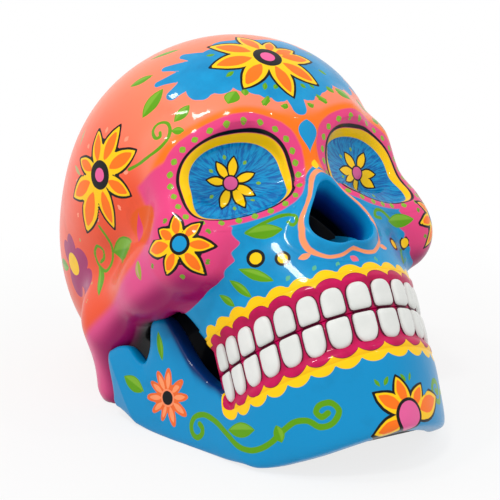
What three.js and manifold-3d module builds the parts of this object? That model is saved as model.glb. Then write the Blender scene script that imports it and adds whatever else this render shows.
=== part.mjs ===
import * as THREE from 'three';
import { mergeVertices } from 'three/addons/utils/BufferGeometryUtils.js';
import Module from 'manifold-3d';

// A painted skull ornament, about life size, in millimetres.
// It is drawn upright with the middle of the bite at the origin: +X to the skull's own left,
// +Y to the back of the head, +Z up. Only at the end is it leaned back to lie as it does on a table.
const LEAN = THREE.MathUtils.degToRad(38);
const BITE_HEIGHT = 61;
const BACK_SHIFT = 95.8;

// Fits between neighbouring pieces.
const SEAT_GAP = 0.25;

// Brain case: three merged ellipsoids, the vault, the forehead and the back of the head.
const HEAD_FRONT_Y = 4;
const HEAD_MIDDLE_Z = 98;
const HEAD_HALF_WIDTH = 70;
const HEAD_HALF_LENGTH = 88;
const HEAD_HALF_HEIGHT = 64;
const FOREHEAD_MIDDLE = [0, 61, 103];
const FOREHEAD_RADII = [66, 58, 52];
const OCCIPUT_Z = 76;
const OCCIPUT_RADII = [60, 58, 52];

// Tooth arch: half an ellipse seen from above, and how far the tooth faces lean forward going up.
const ARCH_HALF_WIDTH = 45;
const ARCH_DEPTH = 55;
const ARCH_SHEAR = 0.2;
const TOOTH_WIDTHS = [10.8, 10.3, 9.6, 9.6, 9.2, 8.6, 7.6, 6.8];
const TOOTH_SPACE = 0.8;
const UPPER_TOOTH_HEIGHT = 10.6;
const LOWER_TOOTH_HEIGHT = 11.6;
const TOOTH_BULGE = 1.5;
const TOOTH_DEPTH = 3.2;
const BITE_GAP = 0.5;
const GUM_FACE = -0.5;
const GUM_BACK = -5.5;
const GUM_BEAD = 1.3;
const GUM_RIM = 3.2;
const GUM_PAST_TEETH = THREE.MathUtils.degToRad(2.5);
const GUM_STATIONS = 26;

// Eye sockets: the rim plane and the dished insert at the bottom of each.
const EYE_X = 32.5;
const EYE_Y = 8.7;
const EYE_Z = 68;
const EYE_TURN = Math.atan(0.298);
const EYE_HALF_WIDTH = 23;
const EYE_UP = 16.4;
const EYE_DOWN = 17.8;
const EYE_DEPTH = 5.5;
const EYE_DISH = 4;
const EYE_DISH_WALL = 3;
const EYE_FLOOR_SCALE = 0.9;

// Nose opening: a pear shape with a shallow blind recess behind it.
const NOSE_Z = 36.5;
const NOSE_HALF_WIDTH = 13.5;
const NOSE_UP = 18.5;
const NOSE_DOWN = 9.5;
const NOSE_DEPTH = 24;

// Hollow of the cranium and the round pour hole under the back of the head.
const WALL = 7;
const SKIN_TURNS = 58;
const SKIN_RINGS = 36;
const FACE_WALL_Y = 46;
const POUR_HOLE_RADIUS = 11;
const POUR_HOLE_Y = 149;
const FLOOR_WALL = 8;

// Lower jaw.
const JAW_WALL = 11;
const RAMUS_WALL = 8;
const RAMUS_SET_IN = 3;
const RAMUS_LENGTH = 57;
const FLARE_LENGTH = 47;
const RAMUS_FLARE = 0.4;
const RAMUS_START_Y = ARCH_DEPTH - RAMUS_SET_IN;
const JAW_STATIONS = 52;

// The block in the mouth behind the teeth.
const BLOCK_SIDE_ROOM = 16;
const BLOCK_FRONT_ROOM = 20;
const BLOCK_FOOT_SIDE_ROOM = 13;
const BLOCK_FOOT_FRONT_ROOM = 22;
const BLOCK_PAST_ARCH = 41;
const BLOCK_BOTTOM = -40;
const BLOCK_STEP = -18;
const BLOCK_TOP = 40;
const BLOCK_CLEAR = 4;
const BLOCK_LAP = 4;

const CORAL = new THREE.MeshStandardMaterial({ color: 0xf27a58, roughness: 0.25, metalness: 0 });
const BLUE = new THREE.MeshStandardMaterial({ color: 0x0a93cc, roughness: 0.25, metalness: 0 });
const DARK = new THREE.MeshStandardMaterial({ color: 0x071326, roughness: 0.4, metalness: 0 });
const MAGENTA = new THREE.MeshStandardMaterial({ color: 0xc2005a, roughness: 0.25, metalness: 0 });
const IVORY = new THREE.MeshStandardMaterial({ color: 0xe6e7e2, roughness: 0.2, metalness: 0 });

const wasm = await Module();
wasm.setup();

const clamp = THREE.MathUtils.clamp;
const smoothstep = THREE.MathUtils.smoothstep;

// Straight-line reading of a list of [position, value] pairs.
function along(list, at) {
  if (at <= list[0][0]) return list[0][1];
  for (let i = 1; i < list.length; i += 1) {
    if (at <= list[i][0]) {
      const t = (at - list[i - 1][0]) / (list[i][0] - list[i - 1][0]);
      return list[i - 1][1] + t * (list[i][1] - list[i - 1][1]);
    }
  }
  return list[list.length - 1][1];
}

// Distance-like fields: negative inside, positive outside.
function ellipsoid(p, c, r) {
  const x = p[0] - c[0];
  const y = p[1] - c[1];
  const z = p[2] - c[2];
  const near = Math.hypot(x / r[0], y / r[1], z / r[2]);
  const slope = Math.hypot(x / r[0] ** 2, y / r[1] ** 2, z / r[2] ** 2);
  return near * (near - 1) / (slope + 1e-9);
}

function rod(p, a, b, ra, rb) {
  const ab = [b[0] - a[0], b[1] - a[1], b[2] - a[2]];
  const ap = [p[0] - a[0], p[1] - a[1], p[2] - a[2]];
  const reach = ap[0] * ab[0] + ap[1] * ab[1] + ap[2] * ab[2];
  const t = clamp(reach / (ab[0] ** 2 + ab[1] ** 2 + ab[2] ** 2), 0, 1);
  const away = Math.hypot(ap[0] - t * ab[0], ap[1] - t * ab[1], ap[2] - t * ab[2]);
  return away - ra - t * (rb - ra);
}

// Union of two fields with a fillet of size k.
function join(a, b, k) {
  const h = Math.max(k - Math.abs(a - b), 0) / k;
  return Math.min(a, b) - h * h * k / 4;
}

// The brain case: vault, forehead and back of the head.
function brainCase(p) {
  const vaultY = HEAD_FRONT_Y + HEAD_HALF_LENGTH;
  const occiputY = HEAD_FRONT_Y + 2 * HEAD_HALF_LENGTH - OCCIPUT_RADII[1];
  const vaultRadii = [HEAD_HALF_WIDTH, HEAD_HALF_LENGTH, HEAD_HALF_HEIGHT];
  let d = ellipsoid(p, [0, vaultY, HEAD_MIDDLE_Z], vaultRadii);
  d = join(d, ellipsoid(p, FOREHEAD_MIDDLE, FOREHEAD_RADII), 22);
  d = join(d, ellipsoid(p, [0, occiputY, OCCIPUT_Z], OCCIPUT_RADII), 20);
  return d;
}

// The upper jaw: an upright column with the tooth arch's plan, wider and set back going up.
const COLUMN_WIDENING = [[-2, 0.5], [12, 2], [28, 7], [45, 10]];
const COLUMN_SHORT_OF_ARCH = 6;
const COLUMN_TOP = 56;
const COLUMN_FRONT = [[0, 0], [13, -2.6], [27, 0.5], [45, 3], [60, 5]];

function upperJaw(p) {
  const a = ARCH_HALF_WIDTH + along(COLUMN_WIDENING, p[2]);
  const b = ARCH_DEPTH - along(COLUMN_FRONT, p[2]);
  const y = Math.min(p[1] - ARCH_DEPTH, 0);
  const plan = (Math.hypot(p[0] / a, y / b) - 1) * a;
  const block = Math.max(plan, BITE_GAP / 2 - p[2], p[1] - ARCH_DEPTH + COLUMN_SHORT_OF_ARCH);
  return Math.max(block, p[2] - COLUMN_TOP);
}

// The whole outside of the cranium, without the eye sockets and the nose.
function cranium(point) {
  const p = [Math.abs(point[0]), point[1], point[2]];
  let d = brainCase(p);
  d = join(d, rod(p, [0, 11, 86], [24, 12, 91], 9, 9), 10);
  d = join(d, rod(p, [24, 12, 91], [46, 24, 87], 9, 8), 10);
  d = join(d, rod(p, [48, 26, 86], [54, 28, 60], 8, 8), 12);
  d = join(d, rod(p, [40, 44, 84], [46, 50, 56], 14, 14), 16);
  d = join(d, ellipsoid(p, [50, 29, 45], [13, 15, 15]), 14);
  d = join(d, rod(p, [16, 13, 50], [46, 23, 46], 8, 8), 10);
  d = join(d, rod(p, [0, 12, 84], [0, 11, 62], 10, 8), 10);
  d = join(d, rod(p, [50, 34, 43], [56, 58, 46], 11, 10), 14);
  d = join(d, rod(p, [56, 58, 46], [58, 98, 52], 10, 13), 16);
  d = join(d, rod(p, [56, 104, 47], [53, 124, 29], 13, 13), 18);
  d = join(d, upperJaw(p), 7);
  d = join(d, ellipsoid(p, [0, 60, 64], [42, 48, 28]), 10);
  return d;
}

// A solid whose outside is found by walking in from far away along each direction of a sphere.
// Rings crowd towards the face by the power given.
function starSolid(field, centre, segments, rings, crowd) {
  const shape = new THREE.SphereGeometry(1, segments, rings);
  const position = shape.attributes.position;
  for (let i = 0; i < position.count; i += 1) {
    const fromFace = Math.acos(clamp(-position.getY(i), -1, 1));
    const polar = Math.PI * (fromFace / Math.PI) ** crowd;
    const turn = Math.atan2(position.getZ(i), position.getX(i));
    const ring = Math.sin(polar);
    const way = [ring * Math.cos(turn), -Math.cos(polar), ring * Math.sin(turn)];
    const reach = (r) => way.map((w, axis) => centre[axis] + r * w);
    const at = (r) => field(reach(r));
    let far = 175;
    while (far > 4 && at(far - 1.5) > 0) far -= 1.5;
    let near = Math.max(far - 1.5, 2);
    for (let k = 0; k < 16; k += 1) {
      const middle = (near + far) / 2;
      if (at(middle) > 0) far = middle;
      else near = middle;
    }
    position.setXYZ(i, ...reach(near));
  }
  return shape;
}

function toManifold(shape) {
  const bare = shape.clone();
  bare.deleteAttribute('normal');
  bare.deleteAttribute('uv');
  const merged = mergeVertices(bare, 1e-4);
  return new wasm.Manifold(new wasm.Mesh({
    numProp: 3,
    vertProperties: new Float32Array(merged.attributes.position.array),
    triVerts: new Uint32Array(merged.index.array),
  }));
}

function toGeometry(solid) {
  const mesh = solid.getMesh();
  const shape = new THREE.BufferGeometry();
  shape.setAttribute('position', new THREE.BufferAttribute(new Float32Array(mesh.vertProperties), 3));
  shape.setIndex(new THREE.BufferAttribute(new Uint32Array(mesh.triVerts), 1));
  return shape;
}

// Moves every corner of a shape.
function moved(shape, place) {
  const position = shape.attributes.position;
  for (let i = 0; i < position.count; i += 1) {
    const q = place(position.getX(i), position.getY(i), position.getZ(i));
    position.setXYZ(i, q[0], q[1], q[2]);
  }
  return shape;
}

// The same shape on the other side of the face, with its corners still in outward order.
function mirrored(shape) {
  const copy = shape.clone();
  moved(copy, (x, y, z) => [-x, y, z]);
  const index = copy.index.array;
  for (let i = 0; i < index.length; i += 3) {
    const keep = index[i];
    index[i] = index[i + 1];
    index[i + 1] = keep;
  }
  return copy;
}

// A point beside the tooth arch: angle from the front, distance outwards, height.
function archPoint(angle, out, z) {
  const normal = [Math.sin(angle) / ARCH_HALF_WIDTH, -Math.cos(angle) / ARCH_DEPTH];
  const size = Math.hypot(normal[0], normal[1]);
  const x = ARCH_HALF_WIDTH * Math.sin(angle) + out * normal[0] / size;
  const y = ARCH_DEPTH * (1 - Math.cos(angle)) + out * normal[1] / size;
  return [x, y - ARCH_SHEAR * z, z];
}

// Angles of the tooth middles and of the row's end, walking along the arch by each tooth's width.
function toothAngles() {
  const angles = [];
  const pace = (at) => Math.hypot(ARCH_HALF_WIDTH * Math.cos(at), ARCH_DEPTH * Math.sin(at));
  let angle = 0;
  for (const width of TOOTH_WIDTHS) {
    const middle = angle + width / 2 / pace(angle);
    angles.push(middle);
    angle += width / pace(middle);
  }
  return { angles, end: angle };
}

const { angles, end: teethEnd } = toothAngles();
const gumEnd = teethEnd + GUM_PAST_TEETH;

// One tooth: a rounded tile with a bulging face, standing on the arch; grow swells it for its pocket.
function tooth(angle, width, bottom, top, grow) {
  const shape = new THREE.SphereGeometry(1, 10, 4);
  const halfWidth = (width - TOOTH_SPACE) / 2 + grow;
  const halfHeight = (top - bottom) / 2 + grow;
  const middle = (top + bottom) / 2;
  const back = -TOOTH_DEPTH - grow;
  const depths = [[-1, TOOTH_BULGE], [-0.5, TOOTH_BULGE * 0.8], [0, 0], [0.5, back], [1, back]];
  const scales = [[-1, 0], [-0.5, 0.8], [0, 1], [0.5, 1], [1, 0]];
  return moved(shape, (x, y, z) => {
    const depth = along(depths, y > 0.5 ? 1 : y);
    const scale = along(scales, Math.sign(y) * Math.round(Math.abs(y) * 2) / 2);
    const turn = Math.atan2(z, x);
    const c = Math.cos(turn);
    const s = Math.sin(turn);
    const u = scale * halfWidth * Math.sign(c) * Math.abs(c) ** 0.5;
    const v = scale * halfHeight * Math.sign(s) * Math.abs(s) ** 0.5;
    const root = archPoint(angle, depth, middle + v);
    const lie = [ARCH_HALF_WIDTH * Math.cos(angle), ARCH_DEPTH * Math.sin(angle)];
    const size = Math.hypot(lie[0], lie[1]);
    return [root[0] + u * lie[0] / size, root[1] + u * lie[1] / size, root[2]];
  });
}

// A gum strip: its section drawn flat, pulled out straight and then laid along the arch.
function gum(bottom, top, bead, grow) {
  const section = new THREE.Shape();
  const low = bottom - grow;
  const high = top + grow;
  section.moveTo(GUM_BACK - grow, low);
  section.lineTo(GUM_FACE + grow, low);
  if (bead > 0) {
    section.lineTo(GUM_FACE + grow, high - GUM_RIM - 2 * grow);
    section.lineTo(GUM_BEAD + grow, high - GUM_RIM * 0.7 - 2 * grow);
    section.lineTo(GUM_BEAD + grow, high - 0.8);
    section.lineTo(GUM_FACE + grow, high);
  } else {
    section.lineTo(GUM_BEAD + grow, low + 0.8);
    section.lineTo(GUM_BEAD + grow, low + GUM_RIM * 0.7 + 2 * grow);
    section.lineTo(GUM_FACE + grow, low + GUM_RIM + 2 * grow);
    section.lineTo(GUM_FACE + grow, high);
  }
  section.lineTo(GUM_BACK - grow, high);
  section.closePath();
  const shape = new THREE.ExtrudeGeometry(section, { depth: 1, steps: GUM_STATIONS, bevelEnabled: false });
  return moved(shape, (x, y, z) => archPoint((1 - 2 * z) * gumEnd, x, y));
}

// The room that a gum strip and its teeth need in the bone behind them, open towards the front.
function gumRoom(bottom, top) {
  const section = new THREE.Shape();
  section.moveTo(GUM_BACK - SEAT_GAP, bottom);
  section.lineTo(20, bottom);
  section.lineTo(20, top);
  section.lineTo(GUM_BACK - SEAT_GAP, top);
  section.closePath();
  const shape = new THREE.ExtrudeGeometry(section, { depth: 1, steps: GUM_STATIONS, bevelEnabled: false });
  const end = gumEnd + SEAT_GAP / ARCH_DEPTH;
  return moved(shape, (x, y, z) => archPoint((1 - 2 * z) * end, x, y));
}

// Lower jaw: where its outer face runs, and the heights of its lower and upper edges against the
// distance behind the start of its upright arms.
const JAW_BOTTOM = [
  [-52, -45], [-40, -44.5], [-7, -39], [4, -33.5],
  [35, -10], [45, -1.5], [53, 8], [57, 15],
];
const JAW_TOP = [
  [-2, -0.6], [1, -6], [5, 0], [9, 15], [12, 32], [16, 36], [21, 34],
  [28, 27], [34, 22.5], [38, 27], [43, 36], [48, 35], [52, 26], [57, 17],
];

function jawPoint(station, out, height, grow) {
  const side = Math.sign(station) || 1;
  const t = Math.abs(station);
  const bend = 0.52;
  let x;
  let y;
  let nx;
  let ny;
  let set = 0;
  if (t < bend) {
    const angle = t / bend * THREE.MathUtils.degToRad(87);
    x = ARCH_HALF_WIDTH * Math.sin(angle);
    y = ARCH_DEPTH * (1 - Math.cos(angle));
    const size = Math.hypot(Math.sin(angle) / ARCH_HALF_WIDTH, Math.cos(angle) / ARCH_DEPTH);
    nx = Math.sin(angle) / ARCH_HALF_WIDTH / size;
    ny = -Math.cos(angle) / ARCH_DEPTH / size;
    set = (7 + 4 * Math.sin(2 * angle)) * (1 - smoothstep(angle, 1, 1.5));
  } else {
    y = RAMUS_START_Y + RAMUS_LENGTH * (t - bend) / (1 - bend);
    x = ARCH_HALF_WIDTH + RAMUS_FLARE * Math.min(y - RAMUS_START_Y, FLARE_LENGTH);
    nx = 1;
    ny = -RAMUS_FLARE;
  }
  const behind = y - RAMUS_START_Y;
  const low = along(JAW_BOTTOM, behind) - grow;
  const high = along(JAW_TOP, behind) + grow;
  const z = low + (high - low) * height;
  const wall = THREE.MathUtils.lerp(JAW_WALL, RAMUS_WALL, smoothstep(behind, -12, 10));
  const face = 2.2 + 1.5 * smoothstep(-z, 5, 40) + 0.1 * Math.max(z, 0) * smoothstep(behind, -2, 18);
  const w = face + grow - out * (wall + 2 * grow);
  const lower = smoothstep(-z, 8, 45);
  const lean = ARCH_SHEAR * clamp(z, -14, 0) * (1 - smoothstep(behind, -12, 4));
  return [side * (x + nx * w), y + ny * w + set * lower - lean, z];
}

function lowerJaw(grow) {
  const outline = [
    [0, 0.08], [0, 0.3], [0, 0.6], [0, 0.92], [0.2, 1], [0.8, 1],
    [1, 0.9], [1, 0.5], [1, 0.1], [0.75, 0], [0.25, 0],
  ];
  const section = new THREE.Shape(outline.map((q) => new THREE.Vector2(q[0], q[1])));
  const shape = new THREE.ExtrudeGeometry(section, { depth: 1, steps: JAW_STATIONS, bevelEnabled: false });
  return moved(shape, (x, y, z) => jawPoint(2 * z - 1, x, y, grow));
}

// Outline of an eye socket as a radius against the angle round its middle.
function eyeOutline(turn) {
  const c = Math.cos(turn);
  const s = Math.sin(turn);
  let power = 2.6;
  if (s > 0 && c > 0) power = 2.1;
  if (s < 0 && c > 0) power = 4.5;
  const base = (Math.abs(c) ** power + Math.abs(s) ** power) ** (-1 / power);
  return [EYE_HALF_WIDTH * base, (s > 0 ? EYE_UP : EYE_DOWN) * base];
}

// A point of the left eye socket: angle and share of the outline, and depth behind the rim plane.
function eyePoint(turn, share, depth) {
  const size = eyeOutline(turn);
  const u = share * size[0] * Math.cos(turn);
  const v = share * size[1] * Math.sin(turn);
  const out = [Math.cos(EYE_TURN), Math.sin(EYE_TURN)];
  const back = [-Math.sin(EYE_TURN), Math.cos(EYE_TURN)];
  return [EYE_X + u * out[0] + depth * back[0], EYE_Y + u * out[1] + depth * back[1], EYE_Z + v];
}

function eyeDishFace(share) {
  return EYE_DEPTH + EYE_DISH * (1 - share * share);
}

// Shapes for the left eye: rings of a sphere reused as the front, edge and back of each solid.
function eyeSolid(rings) {
  const shape = new THREE.SphereGeometry(1, 28, rings.length - 1);
  const steps = rings.length - 1;
  return moved(shape, (x, y, z) => {
    const ring = Math.round(Math.acos(clamp(-y, -1, 1)) / Math.PI * steps);
    return eyePoint(Math.atan2(z, x), rings[ring][0], rings[ring][1]);
  });
}

function eyeDish() {
  const edge = EYE_FLOOR_SCALE - 0.012;
  const shares = [0, 0.4 * edge, 0.75 * edge, edge];
  const front = shares.map((s) => [s, eyeDishFace(s / edge)]);
  const back = shares.slice().reverse().map((s) => [s, eyeDishFace(s / edge) + EYE_DISH_WALL]);
  return eyeSolid(front.concat(back));
}

function eyeCutter() {
  const edge = EYE_FLOOR_SCALE;
  const shares = [0, 0.4 * edge, 0.75 * edge, edge];
  const front = [[0, -25], [1.12, -25], [1, 0], [edge, EYE_DEPTH]];
  const back = shares.slice().reverse().map((s) => [s, eyeDishFace(s / edge) + EYE_DISH_WALL + SEAT_GAP]);
  return eyeSolid(front.concat(back));
}

// Nose cutter: pear-shaped, narrow at the top, with its floor at the depth given.
function noseCutter() {
  const rings = [[0, -20], [1.15, -20], [1, 2], [0.8, NOSE_DEPTH], [0, NOSE_DEPTH]];
  const shape = new THREE.SphereGeometry(1, 24, rings.length - 1);
  return moved(shape, (x, y, z) => {
    const ring = Math.round(Math.acos(clamp(-y, -1, 1)) / Math.PI * (rings.length - 1));
    const turn = Math.atan2(z, x);
    const v = Math.sin(turn) * (turn > 0 ? NOSE_UP : NOSE_DOWN);
    const u = Math.cos(turn) * NOSE_HALF_WIDTH * (1 - 0.2 * smoothstep(v, 0, NOSE_UP));
    return [rings[ring][0] * u, rings[ring][1], NOSE_Z + rings[ring][0] * v];
  });
}

// The block in the mouth that carries the cranium and closes the space between the jaw's arms.
// Its plan is half an ellipse in front and then opens out with the jaw's arms.
function mouthBlock(sideRoom, frontRoom, bottom, top) {
  const plan = new THREE.Shape();
  const halfWidth = ARCH_HALF_WIDTH - sideRoom;
  const depth = ARCH_DEPTH - frontRoom;
  const end = halfWidth + RAMUS_FLARE * BLOCK_PAST_ARCH;
  plan.moveTo(-end, ARCH_DEPTH + BLOCK_PAST_ARCH);
  for (let k = -8; k <= 8; k += 1) {
    const turn = k / 8 * Math.PI / 2;
    plan.lineTo(halfWidth * Math.sin(turn), ARCH_DEPTH - depth * Math.cos(turn));
  }
  plan.lineTo(end, ARCH_DEPTH + BLOCK_PAST_ARCH);
  plan.closePath();
  const shape = new THREE.ExtrudeGeometry(plan, { depth: top - bottom, steps: 1, bevelEnabled: false });
  return shape.translate(0, 0, bottom);
}

const upperTop = BITE_GAP / 2 + UPPER_TOOTH_HEIGHT + GUM_RIM;
const lowerBottom = -BITE_GAP / 2 - LOWER_TOOTH_HEIGHT - GUM_RIM;

function toothRow(upper, grow) {
  const bottom = upper ? BITE_GAP / 2 + 0.2 : -BITE_GAP / 2 - LOWER_TOOTH_HEIGHT;
  const top = upper ? BITE_GAP / 2 + UPPER_TOOTH_HEIGHT : -BITE_GAP / 2 - 0.2;
  const left = TOOTH_WIDTHS.map((width, k) => tooth(angles[k], width, bottom, top, grow));
  const right = TOOTH_WIDTHS.map((width, k) => tooth(-angles[k], width, bottom, top, grow));
  return right.reverse().concat(left);
}

function gumWithPockets(upper) {
  const strip = upper ? gum(BITE_GAP / 2, upperTop, 1, 0) : gum(lowerBottom, -BITE_GAP / 2, -1, 0);
  let solid = toManifold(strip);
  for (const pocket of toothRow(upper, SEAT_GAP)) {
    solid = solid.subtract(toManifold(pocket));
  }
  return solid;
}

const star = [0, 72, 76];
const outside = toManifold(starSolid(cranium, star, SKIN_TURNS, SKIN_RINGS, 1.25));
function hollowField(p) {
  const heightOverTable = p[2] * Math.cos(LEAN) - p[1] * Math.sin(LEAN) + BITE_HEIGHT;
  return Math.max(brainCase(p) + WALL, FACE_WALL_Y - p[1], FLOOR_WALL - heightOverTable);
}

const hollow = toManifold(starSolid(hollowField, [0, 96, 92], 24, 14, 1));
const swollenField = (p) => cranium(p) - SEAT_GAP;
const swollen = toManifold(starSolid(swollenField, star, SKIN_TURNS, SKIN_RINGS, 1.25));

let craniumSolid = outside.subtract(hollow);
craniumSolid = craniumSolid.subtract(toManifold(eyeCutter()));
craniumSolid = craniumSolid.subtract(toManifold(mirrored(eyeCutter())));
craniumSolid = craniumSolid.subtract(toManifold(noseCutter()));
craniumSolid = craniumSolid.subtract(toManifold(gumRoom(-8, upperTop + SEAT_GAP)));

let jawSolid = toManifold(lowerJaw(0)).subtract(swollen);
jawSolid = jawSolid.subtract(toManifold(gumRoom(lowerBottom - SEAT_GAP, 8)));

const core = mouthBlock(BLOCK_SIDE_ROOM, BLOCK_FRONT_ROOM, BLOCK_STEP - BLOCK_LAP, BLOCK_TOP);
const foot = mouthBlock(BLOCK_FOOT_SIDE_ROOM, BLOCK_FOOT_FRONT_ROOM, BLOCK_BOTTOM, BLOCK_STEP);
const jawRoom = toManifold(lowerJaw(SEAT_GAP));
const blockSolid = toManifold(core).add(toManifold(foot)).subtract(swollen).subtract(jawRoom);

// Leaning back onto the table, and the flat that the table leaves under the pieces that touch it.
function leaned(shape) {
  return shape.rotateX(-LEAN).translate(0, -BACK_SHIFT, BITE_HEIGHT);
}

const table = toManifold(new THREE.BoxGeometry(400, 600, 100).translate(0, 0, -50));
const plug = new THREE.CylinderGeometry(POUR_HOLE_RADIUS, POUR_HOLE_RADIUS, 60, 24);
const pour = toManifold(plug.rotateX(Math.PI / 2).translate(0, POUR_HOLE_Y - BACK_SHIFT, 0));

const belowBlock = toManifold(new THREE.BoxGeometry(400, 600, 100).translate(0, 0, BLOCK_CLEAR - 50));

function onTable(solid) {
  return toManifold(leaned(toGeometry(solid))).subtract(table);
}

const model = new THREE.Group();

function add(name, shape, material) {
  const mesh = new THREE.Mesh(shape, material);
  mesh.name = name;
  model.add(mesh);
}

add('cranium', toGeometry(onTable(craniumSolid).subtract(pour)), CORAL);
add('lower_jaw', toGeometry(onTable(jawSolid)), BLUE);
add('skull_base', toGeometry(onTable(blockSolid).subtract(belowBlock)), DARK);
add('upper_gum', leaned(toGeometry(gumWithPockets(true))), MAGENTA);
add('lower_gum', leaned(toGeometry(gumWithPockets(false))), MAGENTA);
add('eye_dish_left', leaned(eyeDish()), BLUE);
add('eye_dish_right', leaned(mirrored(eyeDish())), BLUE);
for (const jaw of ['upper', 'lower']) {
  toothRow(jaw === 'upper', 0).forEach((shape, i) => {
    add(`${jaw}_tooth_${String(i + 1).padStart(2, '0')}`, leaned(shape), IVORY);
  });
}

export default model;
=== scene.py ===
"""A hand-painted skull ornament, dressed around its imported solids. Sizes are in millimetres in the skull's own
upright frame (bite at the origin, +X its left, +Y its back, +Z up) and in metres once it is laid on the table."""

import bpy
import numpy as np
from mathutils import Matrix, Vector
from mathutils.bvhtree import BVHTree


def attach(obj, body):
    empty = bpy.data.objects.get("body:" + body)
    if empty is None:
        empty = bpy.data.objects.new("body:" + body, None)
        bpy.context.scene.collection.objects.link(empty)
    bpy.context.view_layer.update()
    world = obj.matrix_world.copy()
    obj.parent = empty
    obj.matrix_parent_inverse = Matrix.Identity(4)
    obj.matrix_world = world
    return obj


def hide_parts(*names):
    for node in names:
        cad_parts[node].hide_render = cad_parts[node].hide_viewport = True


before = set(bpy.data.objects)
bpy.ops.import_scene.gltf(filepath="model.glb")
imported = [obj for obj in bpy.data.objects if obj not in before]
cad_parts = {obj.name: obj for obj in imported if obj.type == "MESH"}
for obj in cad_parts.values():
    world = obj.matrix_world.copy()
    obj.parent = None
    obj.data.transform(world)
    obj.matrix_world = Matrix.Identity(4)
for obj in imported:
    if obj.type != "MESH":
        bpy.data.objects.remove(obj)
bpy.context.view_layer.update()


# The stage: a pale table top, two small windows overhead and a lamp in front, a broad fill, and a camera to
# the skull's right, a little above it. The photograph is square, so a picture place is a pixel of a 500 square.
CAMERA_PLACE = np.array((-0.2328, -0.4053, 0.1608))
CAMERA_AIM = np.array((-0.0328, -0.0589, 0.0802))
LENS = 75.6
FILM = 36.0
PICTURE = 500


def add(name, data):
    """A new object of the scene, made of camera, lamp or mesh data."""
    made = bpy.data.objects.new(name, data)
    bpy.context.scene.collection.objects.link(made)
    return made


camera = add("camera", bpy.data.cameras.new("camera"))
camera.data.lens = LENS
camera.data.sensor_width = FILM
camera.location = CAMERA_PLACE
camera.rotation_euler = Vector(CAMERA_AIM - CAMERA_PLACE).to_track_quat("-Z", "Y").to_euler()
camera.data.clip_start = 0.01
bpy.context.scene.camera = camera
bpy.context.scene.view_settings.view_transform = "Standard"


def window_light(name, place, aim, size, watts):
    """An oblong area light at a place, turned to an aim point."""
    lamp = bpy.data.lights.new(name, "AREA")
    lamp.shape = "RECTANGLE"
    lamp.size, lamp.size_y = size
    lamp.energy = watts
    holder = add(name, lamp)
    holder.location = place
    holder.rotation_euler = (Vector(aim) - Vector(place)).to_track_quat("-Z", "Y").to_euler()


WINDOW_AIM = (-0.03, -0.05, 0.10)
window_light("window", (-0.385, -0.33, 0.81), WINDOW_AIM, (0.11, 0.09), 2.2)
window_light("window_behind", (-0.435, 0.07, 0.81), WINDOW_AIM, (0.07, 0.06), 0.9)
window_light("lamp", (0.32, -0.52, 0.80), (0, -0.02, 0.08), (0.05, 0.04), 0.45)


class Tone:
    """A node socket that takes part in arithmetic; each operation adds its Math node to the same tree."""

    def __init__(self, tree, socket=None):
        self.tree = tree
        self.socket = socket

    def node(self, kind, settings=None, values=None, out=0):
        """Any node: its type, its settings, then its sockets' values or links, and which output is meant."""
        made = self.tree.nodes.new(kind)
        for key, value in (settings or {}).items():
            setattr(made, key, value)
        for key, value in (values or {}).items():
            if isinstance(value, Tone):
                self.tree.links.new(value.socket, made.inputs[key])
            else:
                made.inputs[key].default_value = value
        return Tone(self.tree, made.outputs[out])

    def math(self, operation, *others):
        return self.node("ShaderNodeMath", {"operation": operation}, dict(enumerate((self,) + others)))

    def __add__(self, other):
        return self.math("ADD", other)

    __radd__ = __add__

    def __sub__(self, other):
        return self.math("SUBTRACT", other)

    def __rsub__(self, other):
        return (self * -1.0) + other

    def __mul__(self, other):
        return self.math("MULTIPLY", other)

    __rmul__ = __mul__

    def rise(self, low, high):
        """0 below low, 1 above high, smooth between."""
        return self.node("ShaderNodeMapRange", {"interpolation_type": "SMOOTHSTEP"},
                         {"Value": self, "From Min": low, "From Max": high})

    def cut(self, soft=0.12):
        """0 outside and 1 inside an edge at 0, smooth over soft to each side."""
        return self.rise(-soft, soft)

    def between(self, low, high):
        """The colour low where this is 0, turning to high where it is 1."""
        return self.node("ShaderNodeMix", {"data_type": "RGBA"}, {0: self, 6: low, 7: high}, 2)

    def over(self, colour, mask):
        """This colour with another painted over it where the mask is 1."""
        return mask.between(self, colour)

    def attribute(self, name, out=1):
        return self.node("ShaderNodeAttribute", {"attribute_name": name}, out=out)

    def parts(self):
        """The three numbers of a vector."""
        split = self.node("ShaderNodeSeparateXYZ", values={0: self}).socket.node
        return [Tone(self.tree, o) for o in split.outputs]

    def noise(self, place, scale, detail=2.0, roughness=0.5):
        return self.node("ShaderNodeTexNoise", values={
            "Vector": place, "Scale": scale, "Detail": detail, "Roughness": roughness})


def clear_rays(tree):
    """1 for the rays that show the background: from the camera, off a gloss or through glass."""
    path = Tone(tree).node("ShaderNodeLightPath")
    seen = path
    for kind in ("Is Transmission Ray", "Is Glossy Ray"):
        seen = seen.math("MAXIMUM", Tone(tree, path.socket.node.outputs[kind]))
    return seen


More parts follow.
